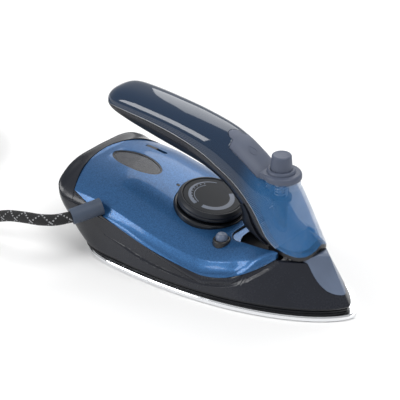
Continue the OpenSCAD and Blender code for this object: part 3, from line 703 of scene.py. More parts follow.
@dataclass
class BodyForm:
    """The curves that the body's shells share."""

    half_sole: float = 47.5
    nose_x: float = 88.0
    heel_x: float = -87.0
    heel_over: float = 17.5
    wide_x: float = -45.0
    nose_slope: float = math.tan(math.radians(29))
    side_lean: float = 0.14
    shield_top: float = 6.8
    top_heel: float = 44.8
    top_waist: float = 30.5
    foot_rise: float = 4.5
    crown_drop: float = 14.0
    rim_z: float = 30.0
    wall: float = 2.2
    crease_u: float = 0.89

    def outline(self, a: np.ndarray, z: np.ndarray,
                d: np.ndarray | float = 0.0) -> tuple[np.ndarray, np.ndarray]:
        """Plan outline of the body at angles a and heights z, inset by d."""
        c, s = np.cos(a), np.sin(a)
        front = c >= 0
        front_x = self.nose_x - 3.2 * np.minimum(1, z / self.shield_top) \
            - np.maximum(0, z - self.shield_top) * self.nose_slope
        rear_x = self.heel_x - self.heel_over * np.sin(math.pi / 2 * np.clip((z - 5) / 33, 0, 1))
        heel = 3 + 3 * smooth(z / 20) + 6 * smooth((z - 16) / 16) - 5 * smooth((z - 35) / 8)
        nose = 1.5 - 0.45 * np.minimum(1, z / 33)
        x_power = np.where(front, 2 / 2.2, 2 / heel)
        reach = np.where(front, front_x - self.wide_x - 1.7 * d, self.wide_x - rear_x - d)
        x = self.wide_x + np.sign(c) * np.abs(c) ** x_power * reach
        y_power = np.where(front, 2 / nose, 2 / (heel + 1))
        return x, np.sign(s) * np.abs(s) ** y_power * (self.half_sole - self.side_lean * z - d)

    def spine(self, x: np.ndarray) -> np.ndarray:
        """Height of the body's back along its middle."""
        return self.top_heel + (self.top_waist - self.top_heel) * smooth((x + 80) / 95) \
            + self.foot_rise * smooth((x - 2) / 30) + 2.2 * smooth((-97 - x) / 7)

    def crown(self, x: np.ndarray, y: np.ndarray, creased: bool = False) -> np.ndarray:
        """Height of the body's back at a place, with its shoulder crease if creased."""
        side = self.half_sole - self.side_lean * 28
        front = self.nose_x - 3.2 - (28 - self.shield_top) * self.nose_slope
        t = np.clip((x - self.wide_x) / (front - self.wide_x), 0, None)
        taper = np.maximum(0, 1 - t ** 2.2) ** (1 / 1.16)
        half = np.where(t <= 0, side, np.maximum(17, side * taper))
        u = np.minimum(1.1, np.abs(y) / half)
        fall = u ** 3.5
        if creased:
            at = self.crease_u ** 3.5
            k = np.clip((u - self.crease_u) / (1 - self.crease_u), 0, 1.9)
            fall = np.where(u < self.crease_u, at * (u / self.crease_u) ** 2.7,
                            at + (1 - at) * (1.42 * k - 0.42 * k * k))
        return self.spine(x) - self.crown_drop * (1 - smooth((x - 25) / 22)) * fall

    def edge(self, a: np.ndarray, d: float = 0.0) -> np.ndarray:
        """Height of the crown's outer edge at angles a."""
        z = np.full_like(a, 30.0)
        for _ in range(9):
            x, y = self.outline(a, z, d)
            z = (z + self.crown(x, y) - d) / 2
        return z

    def seam(self, x: np.ndarray) -> np.ndarray:
        """Height of the seam between the lower housing and the cover."""
        return 15.3 + np.where(x < 8, 0.0825 * np.abs(8 - x) ** 1.2, 0.00518 * np.abs(x - 8) ** 2.2)

    def band(self, x: np.ndarray) -> np.ndarray:
        """Depth of the recessed band under that seam."""
        return np.interp(x, [-80, -66, -52, -30, -12, 10, 30, 44, 56, 64],
                         [0.4, 1.5, 9.5, 9.2, 7.2, 5.2, 5.6, 4.6, 1.2, 0.4])

    def tuck(self, x: np.ndarray, z: np.ndarray, lower: bool) -> np.ndarray:
        """How far the wall stands back at the seam: a recessed band below, a rolled edge above."""
        up = z - self.seam(x)
        if lower:
            deep = self.band(x)
            return 1.25 * smooth((up + deep) / 0.9) * smooth(deep / 3) * (up < 3)
        return 0.55 * (1 - smooth(up / 1.3))

    def envelope(self, name: str, d: float, z0: float, sides: int = 96, levels: int = 12,
                 crowns: int = 14, style: str = "plain") -> bpy.types.Object:
        """The whole body as one closed solid.

        Args:
            name: the object's name.
            d: inset of every face.
            z0: height of its lower end.
            sides: points around.
            levels: steps up the wall.
            crowns: steps over the crown.
            style: "plain", "lower" for the recessed band or "cover" for crease and rolled edge.

        Returns:
            The solid.
        """
        a = np.linspace(0, math.tau, sides, endpoint=False)
        tops = self.edge(a, d)
        rings = []
        for k in range(levels + 1):
            z = z0 + (tops - 1.6 - z0) * k / levels
            x, y = self.outline(a, z, d)
            if style != "plain":
                x, y = self.outline(a, z, d + self.tuck(x, z, style == "lower"))
            rings.append(np.stack([x, y, z], 1))
        ex, ey = self.outline(a, tops, d)
        inner = 0.965

        def crown_ring(r: float) -> np.ndarray:
            """The crown's ring at a share r of the way out."""
            x, y = self.wide_x + r * (ex - self.wide_x), r * ey
            return np.stack([x, y, self.crown(x, y, style == "cover") - d], 1)

        corner = np.stack([ex, ey, tops - 0.25], 1)
        start, end = rings[-1], crown_ring(inner)
        for t in (0.25, 0.5, 0.75, 1.0):
            rings.append(start * (1 - t) ** 2 + corner * 2 * t * (1 - t) + end * t * t)
        near = np.linspace(inner, 0.8, max(3, crowns // 2))[1:]
        far = np.linspace(0.8, 0.03, crowns)[1:]
        rings += [crown_ring(r) for r in [*near, *far]]
        return skin(name, rings)

    def core(self, d: float) -> bpy.types.Object:
        """A coarser copy of the body, inset by d, that hollows a shell."""
        return self.envelope("core", d, 0, 120, 16, 16)


@dataclass
class Body:
    """The lower housing, the covers, the heat shield and the nose cover."""

    form: BodyForm = field(default_factory=BodyForm)
    seam_gap: float = 0.15
    cover_z: float = 31.0
    opening_x: float = 9.0
    opening_w: float = 33.4
    rim_x: float = 46.0
    dial_hole_r: float = 21.7
    guard_hole_r: float = 5.4
    fold_hole_r: float = 5.3
    index_at: float = -41.5
    index_r: float = 1.2
    lens_at: float = -74.0
    lens_size: tuple[float, float] = (18.5, 9.0)
    slot_at: tuple[float, float] = (-77.5, 21.5)
    fold_at: tuple[float, float] = (8.0, -19.7)
    tongue_rows: tuple[tuple[float, float], ...] = (
        (9.2, 60), (9.2, 30), (9.4, 23), (8.8, 19), (7.4, 15.8), (5, 14), (2, 13.2))

    def above_seam(self, g: float) -> bpy.types.Object:
        """Everything above the side seam, raised by g."""
        xs = np.arange(-125, 56, 1.5)
        plan = [(x, float(self.form.seam(np.array(x))) + g) for x in xs] + [(60, 90), (-125, 90)]
        turn = Matrix.Rotation(math.radians(90), 4, "X") @ Matrix.Translation((0, 0, -70))
        return prism("above", plan, 0, 140, turn)

    def behind_seam(self, g: float) -> bpy.types.Object:
        """Everything behind the heel seam and above the heel's lower edge, moved back by g."""
        ys = np.arange(-50, 50.1, 2)
        plan = [(-99.5 + 0.0065 * y * y - g, y) for y in ys] + [(-125, 50), (-125, -50)]
        return prism("behind", plan, self.cover_z + g, 91)

    def tongue(self, g: float) -> bpy.types.Object:
        """The nose cover's tongue, grown by g and running along x."""
        half = fillet([(w + g, z - g, 2.5) for w, z in self.tongue_rows], 4)
        plan = [*half, *[(-w, z) for w, z in reversed(half)]]
        turn = Matrix(((0, 0, 1, 50), (1, 0, 0, 0), (0, 1, 0, 0), (0, 0, 0, 1)))
        return prism("tongue", plan, 0, 60, turn)

    def guard_hole(self) -> bpy.types.Object:
        """The hole that the cord guard leaves by."""
        return post("guard_hole", CordGuard().place(), self.guard_hole_r, 0, 20, 48)

    def rim(self) -> bpy.types.Object:
        """Everything above the rim, in front of the handle's foot."""
        return box("rim", (self.rim_x, -40, self.form.rim_z), (self.rim_x + 60, 40, 70))

    def ellipse(self, grow: float, low: float, high: float) -> bpy.types.Object:
        """A prism of the lens's plan, grown by grow."""
        a, b = self.lens_size
        angles = np.linspace(0, math.tau, 72, endpoint=False)
        plan = [(self.lens_at + (a + grow) * math.cos(t), (b + grow) * math.sin(t)) for t in angles]
        return prism("ellipse", plan, low, high)

    def make(self, build: Build) -> None:
        """Builds and places the body's shells."""
        f = self.form
        inner = f.core(f.wall)
        self.lower(build, inner)
        self.cover(build, inner)
        heel = carve(f.envelope("heel_cover", 0, f.shield_top, 300, 44, 40),
                     self.behind_seam(self.seam_gap), "INTERSECT")
        carve(heel, inner, keep=True)
        build.place(soften(heel, 0.35), "base", Slot.HEEL, ["rear_cover"], 40)
        nose = carve(f.envelope("nose_tongue", 0, f.shield_top, 240, 40, 24), self.tongue(0),
                     "INTERSECT")
        turn = Matrix.Rotation(math.radians(90), 4, "X") @ Matrix.Translation((0, 0, -40))
        side = [(0, 0), (100, 0), (100, 36), (65, 34.6), (57, f.rim_z), (0, f.rim_z)]
        carve(nose, prism("trim", side, 0, 80, turn), "INTERSECT")
        hollow = f.core(1.4)
        carve(hollow, box("below", (0, -40, -1), (100, 40, f.rim_z - 3.5)), "INTERSECT")
        carve(nose, hollow)
        build.place(soften(nose, 0.3), "base", Slot.SLATE, ["nose_cover"], 40)
        bpy.data.objects.remove(inner)
        self.liner(build)
        self.shield(build)

    def lower(self, build: Build, inner: bpy.types.Object) -> None:
        """Builds the lower housing."""
        f = self.form
        shell = f.envelope("side_housing", 0, f.shield_top + 0.05, 300, 56, 20, "lower")
        carve(shell, inner, keep=True)
        carve(shell, self.above_seam(-self.seam_gap))
        carve(shell, self.behind_seam(-self.seam_gap))
        carve(shell, self.rim())
        recess = self.tongue(self.seam_gap)
        carve(recess, f.core(1.5))
        carve(shell, recess)
        carve(shell, self.guard_hole())
        build.place(soften(shell, 0.25), "base", Slot.HOUSING, ["lower_housing"], 28)

    def cover(self, build: Build, inner: bpy.types.Object) -> None:
        """Builds the lacquered cover with its openings."""
        f = self.form
        shell = carve(f.envelope("crown_cover", 0, f.shield_top, 300, 44, 60, "cover"),
                      self.above_seam(self.seam_gap), "INTERSECT")
        carve(shell, inner, keep=True)
        carve(shell, self.behind_seam(-self.seam_gap))
        carve(shell, self.rim())
        opening = rounded_plan(self.opening_x, 90, self.opening_w, 8)
        carve(shell, prism("opening", opening, f.rim_z, 70))
        carve(shell, self.ellipse(0, 35, 55))
        carve(shell, post("dial_hole", Dial().place(), self.dial_hole_r, -12, 28, 96))
        x, y = self.slot_at
        carve(shell, prism("slot", [(x + px, y + py) for px, py in
                                    rounded_plan(-8.5, 8.5, 3, 1.45)], 30, 60))
        for x, y, r, low, sides in ((*self.fold_at, self.fold_hole_r, 20, 48),
                                    (self.index_at, 0, self.index_r, 30, 24)):
            carve(shell, post("hole", Matrix.Translation((x, y, 0)), r, low, 50, sides))
        carve(shell, self.guard_hole())
        build.place(soften(shell, 0.35, 3), "base", Slot.LACQUER, ["upper_cover"], 28)

    def liner(self, build: Build) -> None:
        """Builds the dark liner of the opening that the handle's foot stands in."""
        f, x, w = self.form, self.opening_x, self.opening_w
        ring = prism("foot_liner", rounded_plan(x + 0.06, 64, w - 0.12, 7.9), f.rim_z - 2.5, 60)
        carve(ring, prism("inside", rounded_plan(x + 0.75, 74, w - 1.5, 7.3), 0, 70))
        carve(ring, f.envelope("under", 0.55, 0, 240, 24, 40, "cover"), "INTERSECT")
        carve(ring, box("front", (self.rim_x, -40, 0), (100, 40, 70)))
        build.place(ring, "base", Slot.SHIELD, [], 40)

    def shield(self, build: Build) -> None:
        """Builds the stepped heat shield band."""
        f = self.form
        a = np.linspace(0, math.tau, 300, endpoint=False)
        rings = []
        for z, d in ((3.2, 8.0), (3.2, 1.3), (3.5, 1.0), (4.5, 0.9), (4.75, 1.4), (5.1, 1.4),
                     (5.35, 0.75), (5.6, 0.62), (6.5, 0.6), (6.8, 0.9), (6.8, 8.0)):
            x, y = f.outline(a, np.full_like(a, f.shield_top), d)
            rings.append(np.stack([x, y, np.full_like(a, z)], 1))
        faces = bands(len(rings), len(a), True)
        band = solid("shield_band", [p for r in rings for p in r], faces)
        build.place(band, "base", Slot.SHIELD, ["heat_shield"], 40)


@dataclass
class CordGuard:
    """The tapered rubber guard where the cord leaves."""

    root: tuple[float, float, float] = (-66.0, -40.5, 34.0)
    end: tuple[float, float, float] = (-75.0, -57.0, 30.5)
    outer: float = 5.0
    bore: float = 3.5

    def place(self) -> Matrix:
        """Stands the guard's z axis on its root, towards its end."""
        along = Vector(self.end) - Vector(self.root)
        return Matrix.Translation(self.root) @ along.to_track_quat("Z", "Y").to_matrix().to_4x4()

    def make(self, build: Build) -> None:
        """Builds the guard with its rounded mouth."""
        long = (Vector(self.end) - Vector(self.root)).length
        profile = fillet([(0, 0, 0), (self.outer + 0.1, 0, 0.2), (self.outer - 0.05, 4, 0),
                          (self.outer - 0.15, long - 4.2, 0), (self.outer - 0.2, long, 0.7),
                          (self.bore, long, 0.5), (self.bore, long - 3, 0), (0, long - 3, 0)])
        sleeve = lathe("cord_sleeve", profile, self.place(), 64)
        build.place(sleeve, "base", Slot.GUARD, ["cord_guard"], 40)


# ---------------------------------------------------------------- handle


@dataclass
class HandleForm:
    """The handle's stations and the slices between them."""

    grip: float = 14.5
    steps: int = 150
    around: int = 22

    def __post_init__(self) -> None:
        """Lays out the stations: seam x, z, top x, z, underside x, z, half width, dip and split."""
        g = self.grip
        self.rows = np.array([
            [-89, 84.4, -89.4, 86.2, -89, 83.4, 5, 0, 0.3],
            [-87.8, 85, -88.4, 89.6, -87.8, 82.4, 9, 0, 0.3],
            [-84.8, 85.4, -85.2, 92.6, -84.8, 80.8, 12, 0, 0.3],
            [-79, 85.6, -79, 94.6, -79, 78.4, g - 0.5, 0, 0.3],
            [-67, 85.3, -66.5, 95, -68, 75, g, 0, 0.3],
            [-50, 84.4, -48, 94.4, -50, 71.2, g, 0, 0.3],
            [-30, 82, -27, 93, -32, 68.2, g, 0, 0.32],
            [-12, 77.6, -6, 90, -17, 66, g, 0, 0.36],
            [0, 72.3, 7, 85.6, -7, 63.4, g - 0.1, 0, 0.4],
            [10.2, 67, 17, 80, 3, 58.5, g - 0.3, 0, 0.44],
            [18.5, 60.6, 27, 74.4, 10, 52, g - 0.5, 0, 0.5],
            [26, 53, 42, 71, 15, 46.5, g - 0.5, 0, 0.56],
            [31.2, 46, 50, 60.5, 19, 42, g - 0.3, 0, 0.64],
            [36.2, 39.8, 57.4, 48.6, 24, 38, g + 0.1, 1.6, 0.76],
            [43, 35.4, 63.8, 39.2, 33, 35, g + 0.5, 4.6, 0.9]])
        self.last = len(self.rows) - 1

    def station(self, t: float) -> np.ndarray:
        """The station at any place from 0 to the last, smoothed through its neighbours."""
        i = min(self.last - 1, int(math.floor(t)))
        u = t - i
        a, b, c, d = (self.rows[min(self.last, max(0, k))] for k in (i - 1, i, i + 1, i + 2))
        return b + u * ((c - a) / 2 + u * ((a * 2 - b * 5 + c * 4 - d) / 2
                                           + u * (b * 3 - a - c * 3 + d) / 2))

    def slice(self, t: float, up: bool, low: tuple[float, float], high: tuple[float, float],
              d: float) -> np.ndarray:
        """One ring of the handle.

        Args:
            t: the place along the handle.
            up: whether it runs from the seam to the top or to the underside.
            low: the depth where it starts, as a share and a part of the station's split.
            high: the depth where it ends.
            d: inset of its curved faces.

        Returns:
            The ring's points.
        """
        s = self.station(t)
        a, b = s[0:2], (s[2:4] if up else s[4:6])
        v = b - a
        long = max(0.1, float(np.hypot(*v)))
        reach, w = max(0.05, long - d) / long, max(0.05, s[6] - d)
        power = 2 / (2.4 if up else 2.7)
        f0, f1 = low[0] + low[1] * s[8], min(1.0, high[0] + high[1] * s[8])
        a0, a1 = math.asin(f0 ** (1 / power)), math.asin(f1 ** (1 / power))
        q = np.linspace(a0, a1, self.around + 1)
        side, depth = w * np.abs(np.cos(q)) ** power, np.sin(q) ** power * reach
        dip = s[7] * np.sin(2 * q) if up else 0 * q
        half = [np.stack([a[0] + v[0] * depth, k * side, a[1] + v[1] * depth - dip], 1)
                for k in (-1, 1)]
        return np.concatenate([half[0], half[1][::-1]])

    def loft(self, name: str, up: bool, low: tuple[float, float] = (0, 0),
             high: tuple[float, float] = (1, 0), d: float = 0.0, t0: float = 0.0,
             t1: float | None = None, steps: int | None = None) -> bpy.types.Object:
        """A closed solid of slices from t0 to t1."""
        t1 = self.last if t1 is None else t1
        steps = steps or self.steps
        share = np.linspace(0, 1, steps + 1)
        bunched = share if t0 > 0 else np.where(share < 0.25, 4 * share ** 2 * 0.75 + share * 0.25,
                                                share)
        return skin(name, [self.slice(t0 + (t1 - t0) * k, up, low, high, d) for k in bunched])


@dataclass
class Handle:
    """The water tank, its seal, the rail under it, the soft grip and the filler parts."""

    form: HandleForm = field(default_factory=HandleForm)
    tank_wall: float = 1.9
    button_x: float = 34.5
    valve_bore: float = 4.3
    boot_from: float = 10.4
    boot_grow: float = 6.0
    neck_x: float = 35.4
    neck_r: float = 10.3
    collar_r: float = 11.0
    collar_z: float = 72.0
    collar_t: float = 3.6
    bridge_x: float = 26.2
    button_bore: float = 6.4
    flap_w: float = 9.3
    flap_t: float = 1.8
    pocket_d: float = 2.1
    fill_x: float = 9.0
    fill_r: float = 4.8

    def upright(self, name: str, x: float, r: float, low: float, high: float, sides: int = 72,
                top_r: float | None = None) -> bpy.types.Object:
        """A cutter or post about an upright axis at x."""
        return post(name, Matrix.Translation((x, 0, 0)), r, low, high, sides, top_r)

    def bored(self, piece: bpy.types.Object) -> bpy.types.Object:
        """Bores a piece for the steam valve."""
        return carve(piece, self.upright("bore", self.button_x, self.valve_bore, 30, 60))

    def flap_plan(self, g: float, name: str = "flap_plan") -> bpy.types.Object:
        """The filler flap's plan as a tall prism, grown by g."""
        w, front = self.flap_w + g, self.bridge_x - 0.5
        tab, cx, corner = 4.6 + g, 2.4, 4.6 - g
        arc = [(cx + tab * math.cos(t), tab * math.sin(t))
               for t in np.radians(np.linspace(100, 260, 25))]
        near = [(cx + 0.9, -tab * 0.93), (corner, -w), (front, -w)]
        far = [(front, w), (corner, w), (cx + 0.9, tab * 0.93)]
        return prism(name, [*arc, *near, *far], 60, 110)

    def make(self, build: Build) -> None:
        """Builds and places the handle's shells."""
        self.tank(build)
        f = self.form
        seal = self.bored(f.loft("tank_gasket", False, (0.012, 0), (0.085, 0), -0.15))
        build.place(seal, "handle", Slot.SEAL, ["tank_seal"], 50)
        # Painted highlight: this thin steel strip along the tank's lower edge stands in for the
        # light caught by the clear edge of the tank.
        trim = self.bored(f.loft("painted_highlight_strip", False, (0.0, 0), (0.016, 0), -0.18, 0.6))
        build.place(trim, "handle", Slot.STEEL, [], 50)
        rail = self.bored(f.loft("under_rail", False, (0.095, 0), (0, 1)))
        build.place(rail, "handle", Slot.HOUSING, ["handle_frame"], 30)
        grip = self.bored(f.loft("soft_grip", False, (0.02, 1), (1, 0)))
        for x in (-60, -25):
            carve(grip, self.upright("screw_well", x, 2.6, 60, 78 if x < -40 else 74, 32))
        build.place(grip, "handle", Slot.GRIP, ["grip_cover"], 30)
        self.boot(build)
        self.filler(build)

    def boot(self, build: Build) -> None:
        """Builds the dark boot that fills the cover's opening behind the foot."""
        rings = []
        for t in np.linspace(self.boot_from, self.form.last - 0.1, 40):
            s = self.form.station(t)
            seam, v = s[0:2], s[4:6] - s[0:2]
            ring = self.form.slice(t, False, (0.3, 0), (1, 0), -0.7)
            share = ((ring[:, [0, 2]] - seam) @ v) / (v @ v)
            grow = self.boot_grow * smooth((t - self.boot_from) / 1.8) / float(np.hypot(*v))
            ring[:, 0] += share * v[0] * grow
            ring[:, 2] += share * v[1] * grow
            rings.append(ring)
        build.place(skin("foot_boot", rings), "handle", Slot.GRIP, [], 40)

    def tank(self, build: Build) -> None:
        """Builds the transparent tank with its pocket, neck and cavity."""
        f = self.form
        back, front, wall = 1.2, f.last - 0.28, self.tank_wall
        shell = f.loft("water_tank", True)
        neck = self.upright("neck", self.neck_x, self.neck_r + 1, 56, 71.95, 96, self.neck_r)
        carve(shell, neck, "UNION")
        pocket = self.flap_plan(0.3, "pocket")
        carve(pocket, f.loft("floor", True, (0.1, 0), (1, 0), self.pocket_d, 5, 12, 60))
        hollow = f.loft("hollow", True, (0.14, 0), (1, 0), wall, back, front, 90)
        carve(hollow, self.flap_plan(wall))
        deep = f.loft("deep", True, (0.14, 0), (1, 0), self.pocket_d + wall, back, front, 90)
        carve(hollow, carve(deep, self.flap_plan(wall + 0.1), "INTERSECT"), "UNION")
        carve(hollow, self.upright("throat", self.neck_x, self.neck_r - wall, 52,
                                   self.collar_z - wall), "UNION")
        carve(shell, hollow)
        seat = self.collar_z - 0.05
        carve(shell, self.upright("top", self.neck_x, self.collar_r + 0.1, seat, 92))
        carve(shell, box("bridge", (self.bridge_x - 0.1, -11, seat), (35.2, 11, 92)))
        carve(shell, self.upright("button_bore", self.button_x, self.button_bore + 0.3, 50, 90))
        carve(shell, self.upright("valve_bore", self.button_x, self.valve_bore, 30, 50, 48))
        carve(shell, pocket)
        carve(shell, self.upright("filler_bore", self.fill_x, self.fill_r, 72, 102))
        build.place(soften(shell, 0.3, 2, 40), "handle", Slot.TANK, ["water_tank"], 30)

    def filler(self, build: Build) -> None:
        """Builds the flap, the collar and the steam button."""
        f = self.form
        flap = self.flap_plan(0, "filler_lid")
        carve(flap, f.loft("top", True, (0.2, 0), (1, 0), 0, 6, 11.4, 90), "INTERSECT")
        carve(flap, f.loft("under", True, (0.1, 0), (1, 0), self.flap_t, 5.8, 11.6, 90))
        build.place(soften(flap, 0.22, 2, 50), "flap", Slot.FLAP, ["filler_flap"], 30)
        self.drop_mark(build, flap)
        z, r, w = self.collar_z, self.collar_r, self.flap_w
        top = z + self.collar_t
        neck, axis = (Matrix.Translation((x, 0, 0)) for x in (self.neck_x, self.button_x))
        disc = lathe("button_collar", fillet([(0, z, 0), (r, z, 0.5), (r, z + 2.4, 0.8),
                                              (r - 0.9, top, 0.8), (0, top, 0)]), neck, 96)
        hub = lathe("hub", fillet([(0, z + 1, 0), (8.6, z + 1, 0), (8.3, z + 4.4, 0.6),
                                   (7.5, z + 5.4, 0.5), (0, z + 5.4, 0)]), axis, 96)
        carve(disc, hub, "UNION")
        carve(disc, box("bridge", (self.bridge_x, -w, z), (34.2, w, top)), "UNION")
        carve(disc, self.upright("bore", self.button_x, self.button_bore, 60, 90))
        carve(disc, box("back", (0, -20, z - 1), (self.bridge_x, 20, z + 20)))
        build.place(soften(disc, 0.3, 2, 40), "handle", Slot.FLAP, ["filler_collar"], 30)
        b = self.button_bore - 0.15
        button = lathe("steam_push", fillet([
            (0, 70, 0), (b, 70, 0.3), (b, 78, 0.8), (5.6, 85.4, 0.9), (4.9, 86, 0.7),
            (3.6, 85.75, 1.2), (0, 85.6, 0)]), axis, 96)
        build.place(button, "steam_plunger", Slot.FLAP, ["steam_button"], 40)

    def drop_mark(self, build: Build, flap: bpy.types.Object) -> None:
        """Raises a small water drop on the flap."""
        shape = bmesh.new()
        shape.from_mesh(flap.data)
        tree = BVHTree.FromBMesh(shape)
        points, n = [], 40
        for grow, up in ((0.55, -0.3), (0.55, 0.12), (0.0, 0.12), (0.0, -0.3)):
            for k in range(n):
                t = k * math.tau / n
                x = 14.5 - (2.1 + grow) * math.cos(t) * (1 if math.cos(t) < 0 else 1.35)
                y = (2.0 + grow) * math.sin(t) * (1 - 0.55 * max(0.0, math.cos(t)))
                hit = tree.ray_cast(Vector((x * MM, y * MM, 0.11)), Vector((0, 0, -1)))[0]
                points.append((x, y, hit.z / MM + up))
        shape.free()
        build.place(solid("drop_mark", points, bands(4, n, True)), "flap", Slot.FLAP, [], 40)


# ---------------------------------------------------------------- dial and small parts


@dataclass
class Dial:
    """The temperature dial, its ring and its printed scale."""

    back: float = 17.2
    seat_z: float = 33.0
    tilt: float = math.radians(11)
    r: float = 20.0
    h: float = 9.0
    shaft_bore: float = 3.05

    def place(self) -> Matrix:
        """Puts things on the dial's axis, with z = 0 at its seat."""
        return Matrix.Translation((-self.back, 0, self.seat_z)) @ Matrix.Rotation(self.tilt, 4, "Y")

    def make(self, build: Build) -> None:
        """Builds the ring, the knob and its plate."""
        where, r, h = self.place(), self.r, self.h
        ring = lathe("dial_ring", fillet([
            (self.shaft_bore, -7, 0), (7, -7, 0), (7, -3, 0), (r + 1.5, -3, 0), (r + 1.5, 1.6, 0.5),
            (r + 1.0, 2.6, 0.4), (r - 0.2, 2.6, 0.3), (r - 0.6, 1.9, 0.3),
            (self.shaft_bore, 1.9, 0)]), where, 128)
        build.place(ring, "base", Slot.DIAL_RING, ["dial_seat"], 40)
        knob = lathe("dial_grip", fillet([
            (0, 3.2, 0), (r - 1.2, 3.2, 0.3), (r - 0.3, 4.1, 0.4), (r - 0.15, 5.2, 0.3),
            (r - 0.55, 5.5, 0.3), (r - 0.55, 6.0, 0.2), (r - 0.1, 6.4, 0.4),
            (r - 0.05, h - 1.6, 1.4), (r - 1.7, h, 1.2), (r - 2.5, h, 0.4),
            (r - 2.9, h - 0.85, 0.3), (0, h - 0.9, 0)], 6), where, 144)
        carve(knob, post("bore", where, 3.02, 0, 6.5, 48))
        build.place(knob, "dial", Slot.KNOB, ["dial_knob"], 40)
        plate = lathe("dial_plate", fillet([
            (0, h - 0.9, 0), (r - 3, h - 0.9, 0), (r - 3, h - 0.45, 0.15), (r - 3.6, h - 0.4, 0.2),
            (0, h - 0.4, 0)]), where, 128)
        build.place(plate, "dial", Slot.PRINT, ["dial_face"], 40)
        self.scale(build)

    def arc(self, r0: float, r1: float, start: float, end: float, low: float, high: float,
            taper: float = 0.0) -> tuple[list[Vector], list[tuple[int, ...]]]:
        """Points and faces of a flat arc on the plate, its inner edge closing in by taper."""
        where, n = self.place(), 48
        points, faces = [], []
        for k in range(n + 1):
            t = math.radians(start + (end - start) * k / n)
            inner = r0 + taper * k / n
            for r, z in ((inner, low), (r1, low), (r1, high), (inner, high)):
                points.append(where @ Vector((r * math.cos(t), r * math.sin(t), z)))
            if k:
                b = (k - 1) * 4
                faces += [(b + i, b + (i + 1) % 4, b + 4 + (i + 1) % 4, b + 4 + i)
                          for i in range(4)]
        faces += [(0, 1, 2, 3), (n * 4, n * 4 + 1, n * 4 + 2, n * 4 + 3)]
        return points, faces

    def scale(self, build: Build) -> None:
        """Raises the printed arcs, with a row of dots between them."""
        top = self.h - 0.4
        parts = []
        for n, (r0, r1, start, end, taper) in enumerate((
                (10.6, 13.4, -78, 62, 0.0), (10.2, 10.6, 150, 262, 0.0),
                (13.6, 14.0, 118, 262, -2.0))):
            flat = self.arc(r0, r1, start, end, top - 0.1, top + 0.06, taper)
            parts.append(solid(f"arc_{n}", *flat))
        build.place(join(parts), "dial", Slot.SLATE, [], 40).name = "scale_arcs"
        where = self.place() @ Matrix.Translation((0, 0, top))
        dots = Repeats("scale_ticks", 9, 11.9).make(build, where)
        build.place(dots, "dial", Slot.SLATE, [], 40)


@dataclass
class Repeats:
    """Equal small studs set out on an arc by a Geometry Nodes tree."""

    name: str
    count: int
    radius: float
    start: float = math.radians(152)
    sweep: float = math.radians(104)
    stud_r: float = 0.42
    stud_h: float = 0.32
    stud_sides: int = 20

    def tree(self, material: bpy.types.Material) -> bpy.types.NodeTree:
        """Builds the tree with named inputs for count, radius and stud size."""
        tree = bpy.data.node_groups.new(self.name, "GeometryNodeTree")
        for label, kind in (("Count", "NodeSocketInt"), ("Radius", "NodeSocketFloat"),
                            ("Start", "NodeSocketFloat"), ("Sweep", "NodeSocketFloat"),
                            ("Stud radius", "NodeSocketFloat")):
            tree.interface.new_socket(label, in_out="INPUT", socket_type=kind)
        tree.interface.new_socket("Geometry", in_out="OUTPUT", socket_type="NodeSocketGeometry")
        add = tree.nodes.new
        given, out = add("NodeGroupInput"), add("NodeGroupOutput")
        arc = add("GeometryNodeCurveArc")
        points = add("GeometryNodeCurveToPoints")
        stud = add("GeometryNodeMeshCylinder")
        spread = add("GeometryNodeInstanceOnPoints")
        real, paint = add("GeometryNodeRealizeInstances"), add("GeometryNodeSetMaterial")
        stud.inputs["Vertices"].default_value = self.stud_sides
        stud.inputs["Depth"].default_value = self.stud_h * MM
        paint.inputs["Material"].default_value = material
        link = tree.links.new
        for label, node, socket in (("Count", arc, "Resolution"), ("Radius", arc, "Radius"),
                                    ("Start", arc, "Start Angle"), ("Sweep", arc, "Sweep Angle"),
                                    ("Stud radius", stud, "Radius")):
            link(given.outputs[label], node.inputs[socket])
        points.mode = "EVALUATED"
        link(arc.outputs["Curve"], points.inputs["Curve"])
        link(points.outputs["Points"], spread.inputs["Points"])
        link(stud.outputs["Mesh"], spread.inputs["Instance"])
        link(spread.outputs["Instances"], real.inputs[0])
        link(real.outputs[0], paint.inputs["Geometry"])
        link(paint.outputs[0], out.inputs[0])
        return tree

    def make(self, build: Build, where: Matrix) -> bpy.types.Object:
        """Runs the tree and leaves a plain mesh.

        Args:
            build: holds the finishes.
            where: puts the arc's plane in place, in millimetres.

        Returns:
            The studs as one piece.
        """
        piece = object_from(self.name, bpy.data.meshes.new(self.name))
        step = piece.modifiers.new("studs", "NODES")
        step.node_group = self.tree(build.palette[Slot.SLATE])
        sizes = {"Count": self.count, "Radius": self.radius * MM, "Start": self.start,
                 "Sweep": self.sweep, "Stud radius": self.stud_r * MM}
        for item in step.node_group.interface.items_tree:
            if item.in_out == "INPUT":
                step[item.identifier] = sizes[item.name]
        settle(piece)
        metres = where.copy()
        metres.translation = where.translation * MM
        piece.data.transform(metres)
        return piece


